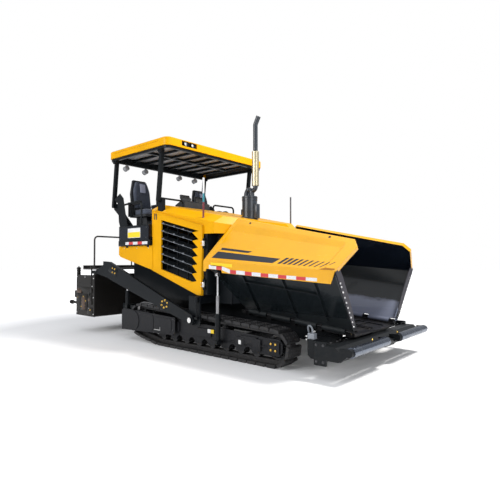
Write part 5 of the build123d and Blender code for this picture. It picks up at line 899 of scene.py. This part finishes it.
def roof_trim():
    """Lamp lenses, rims and seams of the canopy."""
    lens = Piece("roof_lamp_lenses", "canopy_roof", "lens")
    rings = Piece("roof_lamp_rims", "canopy_roof", "black")
    front_lens = ((0.0, 0.010), (0.016, 0.008), (0.030, 0.0))
    rear_lens = ((0.0, 0.006), (0.022, 0.004), (0.040, 0.0))
    front_rim = ((0.0315, -0.010), (0.0315, 0.004), (0.036, 0.006), (0.042, 0.0), (0.044, -0.020))
    rear_rim = ((0.0505, 0.0), (0.0515, 0.012), (0.044, 0.016), (0.041, 0.0))
    for y in (-0.850, -0.690):
        lens.turned(front_lens, (-0.036, y, 3.448), (1, 0, 0))
        rings.turned(front_rim, (-0.024, y, 3.448), (1, 0, 0))
    x, aim = -1.745, (-0.97, 0, -0.24)
    for y in (0.9, -0.9, 0.45, -0.45):
        lens.turned(rear_lens, (x - 0.024, y, 3.2465), aim)
        rings.turned(rear_rim, (x - 0.026, y, 3.246), aim)
    lens.done()
    rings.done()
    pocket = Piece("roof_lamp_pocket", "canopy_roof", "gloss_black")
    pocket.box((-0.0495, -0.938, 3.407), (-0.0475, -0.592, 3.490), 0)
    pocket.done()
    edge = Piece("roof_edge_inside", "canopy_roof", "shell")
    for sign in (-1, 1):
        edge.box((-1.700, 1.2150 * sign, 3.372), (-0.110, 1.2195 * sign, 3.488), 0)
    edge.box((-0.0645, -1.15, 3.372), (-0.0602, 1.15, 3.488), 0)
    edge.box((-1.7548, -1.15, 3.372), (-1.7505, 1.15, 3.488), 0)
    edge.done()
    # pale sheet above the ribs: painted light standing for light reflected off the roof's underside
    painted_roof_light = Piece("roof_painted_light", "canopy_roof", "painted_roof_light")
    for index in range(7):
        y = (index / 7 - 0.5) * 2 * 1.03 + 0.022
        painted_roof_light.box((-1.735, y, 3.442), (-0.080, y + 0.250, 3.450), 0.002)
    painted_roof_light.done()


def seat_form(u, v, w):
    """Seat pad from a cube's point (each way from -1 to 1): crowned, sides raised, corners pulled in."""
    pinch = 1 - 0.06 * (abs(u) ** 3) * (abs(v) ** 3)
    if w > 0:
        crown = 0.5 * (1 - u * u) * (1 - v * v)
        side = max(0.0, abs(v) - 0.62) / 0.38
        edge = max(abs(u), abs(v)) ** 10
        w *= (0.72 + 0.28 * crown + 0.18 * side * (1 - side * 0.6)) * (1 - 0.22 * edge)
    return Vector((u * pinch, v * pinch, w))


def back_form(u, v, w):
    """Back pad from a cube's point: crowned in front, sides raised, narrower at the top."""
    taper = 1.0 if w < 0.2 else 1.0 - 0.36 * ((w - 0.2) / 0.8) ** 1.4
    depth = 1.0
    if u > 0:
        crown = 0.5 * (1 - v * v) * (1 - w * w)
        side = max(0.0, abs(v) - 0.55) / 0.45
        edge = max(abs(v), abs(w)) ** 8
        depth = (0.60 + 0.4 * crown + 0.30 * side * (1 - side * 0.7)) * (1 - 0.35 * edge)
    return Vector((u * depth, v * taper, w))


def seats_soft():
    """The left seat's pads before they are filled."""
    low = Vector((SEAT_X - 0.150, SEAT_Y - 0.220, 2.2905))
    high = Vector((SEAT_X + 0.240, SEAT_Y + 0.220, 2.400))
    flat = Matrix.Translation(low.lerp(high, 0.5))
    foot = Matrix.Translation(BACK_FOOT + Vector((0, SEAT_Y, 0)))
    lean = foot @ BACK_LEAN.to_4x4() @ Matrix.Translation((0.0925, 0, 0.415))
    # name, form, size, place
    kinds = (
        ("seat_pad", seat_form, high - low, flat),
        ("back_pad", back_form, Vector((0.078, 0.370, 0.54)), lean),
    )
    pads = []
    for label, form, size, place in kinds:
        bm = bmesh.new()
        bmesh.ops.create_cube(bm, size=1.0)
        bmesh.ops.subdivide_edges(bm, edges=bm.edges[:], cuts=11, use_grid_fill=True)
        for vert in bm.verts:
            vert.co = place @ (form(*(vert.co * 2)) * 0.5 * size)
        pads.append((meshed(label + "_left", bm), label))
    return pads


def plump(pad, cap):
    """Swell a pad by cloth with pressure, hold how far it moves, and leave a plain mesh."""
    rest = pad.modifiers.new("fine", "REMESH")
    rest.mode, rest.voxel_size = "VOXEL", 0.011
    apply_all(pad)
    start = [vert.co.copy() for vert in pad.data.vertices]
    cloth = pad.modifiers.new("fill", "CLOTH")
    cloth.settings.use_pressure = True
    cloth.settings.uniform_pressure_force = 4.0
    cloth.settings.effector_weights.gravity = 0.0
    cloth.settings.tension_stiffness = 40
    scene = bpy.context.scene
    for number in range(1, 13):
        scene.frame_set(number)
    apply_all(pad)
    scene.frame_set(1)
    for vert, old in zip(pad.data.vertices, start):
        move = vert.co - old
        if move.length > cap:
            vert.co = old + move.normalized() * cap
    fine = pad.modifiers.new("smooth", "SUBSURF")
    fine.levels = fine.render_levels = 1
    apply_all(pad)


def apply_all(pad):
    """Turn what the modifiers make into the mesh itself."""
    graph = bpy.context.evaluated_depsgraph_get()
    mesh = bpy.data.meshes.new_from_object(pad.evaluated_get(graph), depsgraph=graph)
    pad.modifiers.clear()
    pad.data = mesh


def seats():
    """Pads with their channels, on both seats."""
    covers = []
    for pad, label in seats_soft():
        bpy.context.view_layer.update()
        plump(pad, 0.007)
        for vert in pad.data.vertices:
            y = vert.co.y - SEAT_Y
            groove = 0.0
            for line in (-0.115, 0.115):
                groove += math.exp(-((y - line) / 0.006) ** 2)
            if label == "seat_pad" and vert.co.z > 2.35:
                for line in (-0.03, 0.09):
                    groove += math.exp(-((vert.co.x - SEAT_X - line) / 0.006) ** 2) * (abs(y) < 0.115)
                vert.co.z -= 0.006 * min(1.0, groove)
            if label == "back_pad":
                for line in (2.52, 2.70):
                    groove += math.exp(-((vert.co.z - line) / 0.006) ** 2) * (abs(y) < 0.115)
                vert.co.x -= 0.005 * min(1.0, groove)
        pad.data.materials.clear()
        pad.data.materials.append(LOOKS["cloth"])
        for face in pad.data.polygons:
            face.use_smooth = True
        mesh = pad.data.copy()
        for vert in mesh.vertices:
            vert.co.y = -vert.co.y
        mesh.flip_normals()
        covers += [pad, placed(label + "_right", mesh)]
    for cover in covers:
        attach(cover, "root")
    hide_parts("seat_cushions")
    badge = Piece("seat_back_panels", "root", "pale_panel")
    for y in (-SEAT_Y, SEAT_Y):
        centre = BACK_LEAN @ Vector((0.136, 0, 0.545)) + BACK_FOOT + Vector((0, y, 0))
        half = Vector((0.004, 0.060, 0.085))
        badge.box(centre - half, centre + half, 0.003, BACK_LEAN)
    badge.done()


def console_trim():
    """Displays, keys and levers on the control desk."""
    turn = Matrix.Rotation(math.radians(-24), 3, "Y")
    screen = Piece("console_screens", "root", "screen")
    keys = Piece("console_keys", "root", "grey")
    for sign in (-1, 1):
        centre = Vector((-0.800, sign * 0.1815, 2.640))
        face = centre + turn @ Vector((-0.0185, 0, 0))
        screen.box(face - Vector((0.001, 0.094, 0.058)), face + Vector((0.001, 0.094, 0.058)), 0.0, turn)
        for index in range(6):
            spot = centre + turn @ Vector((-0.020, -0.08 + index * 0.032, -0.066))
            keys.box(spot - Vector((0.002, 0.010, 0.004)), spot + Vector((0.002, 0.010, 0.004)), 0.001, turn)
    screen.done()
    for row in range(3):
        for column in range(12):
            y = -0.290 + column * 0.0525
            x = -0.905 + row * 0.050
            z = 2.510 + (x + 0.930) * (0.090 / 0.190)
            keys.rod((x, y, z - 0.001), (x, y, z + 0.010), 0.010, 0.008, 10)
    keys.done()
    levers = Piece("console_levers", "root", "shell")
    knob = ((0.0, -0.012), (0.014, -0.008), (0.018, 0.012), (0.012, 0.030), (0.0, 0.034))
    for y in (-0.25, 0.0, 0.25):
        levers.pipe(((-0.84, y, 2.545), (-0.845, y, 2.600), (-0.860, y, 2.650)), 0.007, 8)
        levers.turned(knob, (-0.860, y, 2.650), (-0.2, 0, 1), 14)
    levers.done()


platform_trim()
roof_trim()
seats()
console_trim()


def track_trim():
    """Bolts on every shoe's outer face."""
    low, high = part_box("track_right")
    middle = Vector(((low.x + high.x) / 2, 0, (low.z + high.z) / 2))
    for name, sign in SIDES:
        bolts = Piece("shoe_bolts_" + name, "root", "dark_bolt")
        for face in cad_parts["track_" + name].data.polygons:
            normal = face.normal
            if face.area < 0.0150 or abs(normal.y) > 0.05:
                continue
            if (face.center - middle).dot(normal) < 0.05:
                continue
            along = Vector((0, 1, 0)).cross(normal).normalized()
            for across in (-0.095, -0.045, 0.045, 0.095):
                for step in (-0.025, 0.025):
                    spot = Vector((face.center.x, 1.040 * sign + across, face.center.z)) + along * step
                    if spot.z < 0.02:
                        continue
                    bolts.rod(spot - normal * 0.001, spot + normal * 0.006, 0.009, 0.008, 6)
        bolts.done()


def side_trim():
    """Bolts, caps, plates and pipes along the machine's lower sides."""
    turns = [math.radians(60 * index + 20) for index in range(6)]
    places = [(-0.045 + 0.075 * math.cos(angle), 0.722 + 0.062 * math.sin(angle)) for angle in turns]
    places += [(-1.595, 1.292), (-1.520, 1.272), (-1.600, 1.212), (-1.520, 1.198)]
    side_bolts("arm_bolts", "screed", "zinc", ARM_FACE_Y + 0.0003, 0.0135, places)
    seams = Piece("arm_plates", "screed", "black")
    turn = Matrix.Rotation(math.radians(22), 3, "Y")
    seams.box((-1.72, ARM_FACE_Y - 0.001, 1.175), (-1.44, ARM_FACE_Y + 0.0035, 1.320), 0.003, turn)
    seams.mirrored().done()
    cap = Piece("tow_pin_caps", "root", "white")
    cap.turned(((0.0, 0.0007), (0.038, 0.0006), (0.046, 0.0)), (0.574, 1.2876, 0.510), (0, 1, 0))
    cap.mirrored().done()
    cover = Piece("idler_covers", "root", "frame_black")
    outline = ((1.86, 0.385), (2.20, 0.385), (2.255, 0.330), (2.255, 0.205), (2.200, 0.150), (1.86, 0.150))
    plate = ((2.03, 0.350), (2.215, 0.350), (2.215, 0.190), (2.03, 0.190))
    cover.plate([(x, 1.1395, z) for x, z in outline], -0.024, 0.006)
    cover.plate([(x, 1.1630, z) for x, z in plate], -0.008, 0.002)
    cover.box((1.30, 1.1600, 0.262), (2.03, 1.1660, 0.274), 0.002)
    cover.box((1.44, 1.1600, 0.235), (1.60, 1.1680, 0.345), 0.004)
    cover.box((1.76, 1.1600, 0.190), (1.90, 1.1690, 0.350), 0.004)
    cover.mirrored().done()
    places = ((2.083, 0.318), (2.160, 0.318), (2.083, 0.235), (2.160, 0.235))
    side_bolts("track_frame_bolts", "root", "zinc", 1.1712, 0.012, places)
    dots = Piece("track_frame_fittings", "root", "white")
    dots.box((1.495, 1.1600, 0.245), (1.545, 1.1690, 0.305), 0.002)
    dots.rod((1.035, 1.1600, 0.262), (1.035, 1.1700, 0.262), 0.014, 0.010, 14, 0.002)
    dots.box((0.860, 1.1600, 0.335), (0.925, 1.1625, 0.392), 0.001)
    dots.mirrored().done()
    field = Piece("track_frame_plate_field", "root", "label")
    field.box((0.928, 1.1600, 0.333), (0.995, 1.1625, 0.390), 0.001)
    field.mirrored().done()
    mark = Piece("cover_mark", "root", "white")
    mark.box((-0.395, COVER_FACE_Y + 0.0060, 0.262), (-0.230, COVER_FACE_Y + 0.0072, 0.270), 0)
    mark.box((-0.238, COVER_FACE_Y + 0.0060, 0.270), (-0.230, COVER_FACE_Y + 0.0072, 0.320), 0)
    mark.mirrored().done()
    places = ((-1.34, 0.24), (-1.34, 0.46), (-0.82, 0.50), (-0.40, 0.52), (0.10, 0.48), (0.10, 0.30),
              (-0.40, 0.215))
    side_bolts("cover_bolts", "root", "dark_bolt", COVER_FACE_Y - 0.0005, 0.011, places)
    pipes = Piece("drive_pipes", "root", "steel")
    y = 1.150
    for lift, offset in ((0.0, 0.0), (0.03, 0.035)):
        route = ((-0.95 + offset, y, 0.55 - lift), (-0.93 + offset, y, 0.640), (-0.75, y, 0.675),
                 (-0.45, y, 0.650), (-0.20, y, 0.600), (-0.02, y, 0.590), (0.02, y - 0.050, 0.560))
        pipes.pipe([(x, side, z + lift) for x, side, z in route], 0.011)
    pipes.mirrored().done()


def front_trim():
    """Bolts of the push beam and end caps of its rollers."""
    zinc = Piece("beam_bolts", "push_beam", "zinc")
    for y, z in ((-0.400, 0.395), (0.430, 0.395), (-0.12, 0.300), (0.12, 0.300)):
        zinc.bolt((BEAM_FACE_X, y, z), (1, 0, 0), 0.012)
    zinc.done()
    dark = Piece("beam_plate_bolts", "push_beam", "dark_bolt")
    for x, z in ((2.84, 0.415), (2.84, 0.215), (2.935, 0.415), (2.935, 0.215)):
        dark.bolt((x, 1.2497, z), (0, 1, 0), 0.014)
    for index in range(9):
        dark.bolt((2.975 + 0.018 * (index % 2), 0.20 + index * 0.118, 0.4397), (0, 0, 1), 0.009)
    dark.mirrored().done()
    for name, sign in SIDES:
        ends = Piece("roller_caps_" + name, "push_roller_" + name, "dark_bolt")
        cap = ((0.026, 0.0), (0.050, 0.0), (0.052, 0.003), (0.030, 0.004))
        for y, out in ((0.2045, -1), (1.1985, 1)):
            ends.turned(cap, (ROLLER_X, y * sign, ROLLER_Z), (0, out * sign, 0))
        ends.done()
    # a valve with its unions and pipe between the wing's foot and the beam
    valve = Piece("side_valves", "root", "lip")
    valve.box((2.640, 1.060, 0.4455), (2.735, 1.135, 0.520), 0.006)
    valve.mirrored().done()
    unions = Piece("side_unions", "root", "white")
    for x, z in ((2.600, 0.470), (2.600, 0.430), (2.690, 0.535)):
        unions.rod((x, 1.040, z), (x, 1.100, z), 0.013, 0.011, 12, 0.002)
    unions.mirrored().done()
    lines = Piece("side_pipes", "root", "lip")
    lines.pipe(((2.690, 1.095, 0.515), (2.690, 1.095, 0.575), (2.650, 1.085, 0.610), (2.600, 1.060, 0.600),
                (2.590, 1.040, 0.540), (2.590, 0.99, 0.46)), 0.011, 10)
    lines.mirrored().done()


def screed_trim():
    """Bolts, valve block, unions and pipes on the screed's ends."""
    for name, sign in SIDES:
        body = "screed_extension_" + name
        face = SCREED_END_Y * sign

        def out(x, z, lift=0.0):
            return (x, face + lift * sign, z)

        def route(*points):
            return [out(*point) for point in points]

        bolts = Piece("screed_end_bolts_" + name, body, "bolt")
        places = ((-2.94, 0.37), (-2.94, 1.10), (-2.29, 0.37), (-2.29, 0.70), (-2.29, 1.08), (-2.45, 0.48),
                  (-2.62, 1.10), (-2.34, 0.92))
        for x, z in places:
            bolts.bolt(out(x, z, 0.0003), (0, sign, 0), 0.010)
        bolts.done()
        plates = Piece("screed_end_plates_" + name, body, "screed")
        # rear, low, front, high, thickness
        for rear, low, front, high, thick in (
            (-2.92, 0.80, -2.36, 0.90, 0.010),
            (-2.78, 0.42, -2.52, 0.76, 0.012),
            (-2.52, 0.36, -2.32, 0.50, 0.008),
            (-2.95, 0.60, -2.80, 0.74, 0.016),
            (-2.48, 0.56, -2.34, 0.74, 0.014),
        ):
            plates.box(out(rear, low, -0.001), out(front, high, thick), 0.004)
        plates.done()
        block = Piece("screed_valve_" + name, body, "fitting_brown")
        block.box(out(-2.72, 0.44, 0.004), out(-2.60, 0.70, 0.0185), 0.005)
        block.box(out(-2.93, 0.77, 0.004), out(-2.74, 0.83, 0.0175), 0.005)
        for z in (0.47, 0.53, 0.59, 0.65):
            block.rod(out(-2.745, z, 0.0055), out(-2.575, z, 0.0055), 0.0135, 0.0135, 8, 0.002)
        for x in (-2.90, -2.85, -2.80):
            block.rod(out(x, 0.800, 0.006), out(x, 0.860, 0.006), 0.012, 0.010, 12, 0.002)
        block.turned(((0.0, 0.012), (0.030, 0.010), (0.036, 0.0)), out(-2.44, 0.65, 0.0070), (0, sign, 0), 20)
        block.done()
        copper = Piece("screed_unions_" + name, body, "zinc")
        dome = ((0.0, 0.016), (0.010, 0.014), (0.015, 0.006), (0.016, 0.0))
        for x, z in ((-2.745, 0.500), (-2.575, 0.620), (-2.66, 0.705), (-2.875, 0.680), (-2.40, 0.450)):
            copper.turned(dome, out(x, z, 0.0035), (0, sign, 0), 14)
        copper.done()
        pipes = Piece("screed_pipes_" + name, body, "rubber")
        for index in range(4):
            x, z = -2.90 + index * 0.045, 0.47 + index * 0.06
            pipes.pipe(route((x, 0.80, 0.008), (x, 0.755, 0.011), (x + 0.03, 0.70, 0.0115),
                             (-2.80, z + 0.03, 0.011), (-2.745, z, 0.008)), 0.008, 8)
        pipes.pipe(route((-2.575, 0.59, 0.008), (-2.52, 0.60, 0.010), (-2.46, 0.72, 0.010),
                         (-2.42, 0.80, 0.010), (-2.42, 0.86, 0.006)), 0.009, 8)
        pipes.done()


track_trim()
side_trim()
front_trim()
screed_trim()


def hood_trim():
    """Hood seams, a dark sheet in the bay that is painted shade, the silencer's collar and bend, and the
    marker rods.
    """
    seam = Piece("hood_seams", "root", "rubber")
    for x in (-0.10, 0.45):
        z = line_at(HOOD_TOP, x)
        seam.box((x - 0.003, -0.915, z - 0.004), (x + 0.003, 0.915, z + 0.0012), 0)
    seam.done()
    # a dark sheet inside the bay: painted shade where the bay's interior lies in shadow
    mesh = Piece("bay_shade_sheet", "root", "inside")
    for sign in (-1, 1):
        mesh.box((0.830, 0.875 * sign, 1.300), (1.085, 0.890 * sign, 1.845), 0.002)
    mesh.done()
    collar = Piece("silencer_collar", "root", "stack")
    foot = ((0.132, 0.0), (0.155, 0.0), (0.155, 0.012), (0.138, 0.020))
    rim = ((0.1305, 0.0), (0.137, 0.004), (0.137, 0.026), (0.1305, 0.030))
    cap = ((0.0, 0.055), (0.030, 0.052), (0.046, 0.035), (0.050, 0.0))
    collar.turned(foot, (*SILENCER, 2.158), (0.2, 0, 1), 28)
    collar.turned(rim, (*SILENCER, 2.505), (0, 0, 1), 32)
    # inlet bend, cap and strap box round the silencer
    bend = ((0.715, 2.535), (0.715, 2.600), (0.745, 2.650), (0.800, 2.660), (0.840, 2.620), (0.845, 2.535))
    collar.pipe([(x, SILENCER[1], z) for x, z in bend], 0.042, 14)
    collar.turned(cap, (0.760, SILENCER[1], 2.640), (0, 0, 1), 18)
    collar.box((0.905, -0.145, 2.150), (0.985, -0.055, 2.400), 0.010)
    collar.done()
    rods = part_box("marker_rods")[0].z
    # name, look, place, how far its foot is sunk in the hood, top, radius, ferrule's radius
    for name, look, x, y, sunk, top, radius, wide in (
        ("near", "rods", 0.640, -1.050, 0.0, 2.748, 0.0150, 0.026),
        ("far", "dark_rod", 0.875, 1.000, 0.02, 2.648, 0.0140, 0.024),
    ):
        rod = Piece("marker_rod_" + name, "root", look)
        ferrule = ((radius + 0.001, 0.0), (wide, 0.002), (wide, 0.010), (radius + 0.001, 0.030))
        rod.rod((x, y, rods - sunk), (x, y, top), radius, segments=14, bevel=0.003)
        rod.turned(ferrule, (x, y, rods), (0, 0, 1), 18)
        rod = rod.done()
        if name == "near":
            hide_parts("marker_rods")


hood_trim()


# Stage, lights and camera

def stage():
    """Pale floor, the world's light and the lamps."""
    bm = bmesh.new()
    bmesh.ops.create_grid(bm, x_segments=1, y_segments=1, size=60.0)
    floor = meshed("floor", bm)
    net = Net("floor_white")
    speck = net.noise(3, 3)
    net.finish(Base_Color=net.mix(speck, (0.80, 0.80, 0.80), (0.82, 0.82, 0.82)), Roughness=0.9)
    net.shader.inputs["Specular IOR Level"].default_value = 0.0
    net.shader.inputs["Emission Strength"].default_value = 1.0
    far = (net.x * net.x + net.y * net.y).maths("SQRT").step(4.6, 7.5)
    level = (far * 0.8 + 0.06) * (net.ray("Camera") + net.ray("Glossy") * 0.3)
    net.finish(Emission_Color=net.node("CombineColor", [level] * 3))
    floor.data.materials.append(net.material)

    world = bpy.data.worlds.new("studio")
    bpy.context.scene.world = world
    world.use_nodes = True
    tree = Tree(world.node_tree)
    up = tree.parts(tree.node("TexCoord", out="Generated"))[2]
    light = tree.node("MapRange", [up, 0.55, 0.95, 0.30, 1.15])
    sky = tree.node("Background", [(0.93, 0.95, 1.0, 1.0), light])
    white = tree.node("Background", [(1, 1, 1, 1), 1.0])
    share = tree.ray("Camera").high(tree.ray("Transmission")).high(tree.ray("Glossy") * 0.2)
    tree.put(tree.tree.nodes["World Output"].inputs[0], tree.node("MixShader", [share, sky, white]))

    # place, aim, width, height, power, colour
    lamps = (
        ("key", (6.6, 2.9, 9.6), (0.0, 0.0, 0.5), 1.8, 1.8, 1250, (1.0, 0.98, 0.95)),
        ("side", (-2.0, -10.0, 5.0), (0.0, 0.0, 1.3), 6.0, 4.0, 560, (1.0, 1.0, 1.0)),
        ("front", (10.0, -3.0, 4.0), (1.0, 0.0, 1.0), 5.0, 4.0, 200, (0.95, 0.97, 1.0)),
    )
    for name, place, aim, width, height, power, colour in lamps:
        lamp = bpy.data.lights.new(name, "AREA")
        lamp.shape, lamp.energy, lamp.color = "RECTANGLE", power, colour
        lamp.size, lamp.size_y = width, height
        made = placed(name, lamp)
        made.location = place
        made.rotation_euler = (Vector(aim) - Vector(place)).to_track_quat("-Z", "Y").to_euler()


def camera():
    """The photo's standpoint."""
    lens = bpy.data.cameras.new("camera")
    lens.lens, lens.sensor_width, lens.clip_end = 31.04, 36.0, 300.0
    made = placed("camera", lens)
    made.location = (5.645, -5.736, 1.425)
    made.rotation_euler = (math.radians(91.47), 0, math.radians(40.7))
    bpy.context.scene.camera = made


stage()
camera()
bpy.context.scene.view_settings.view_transform = "Standard"
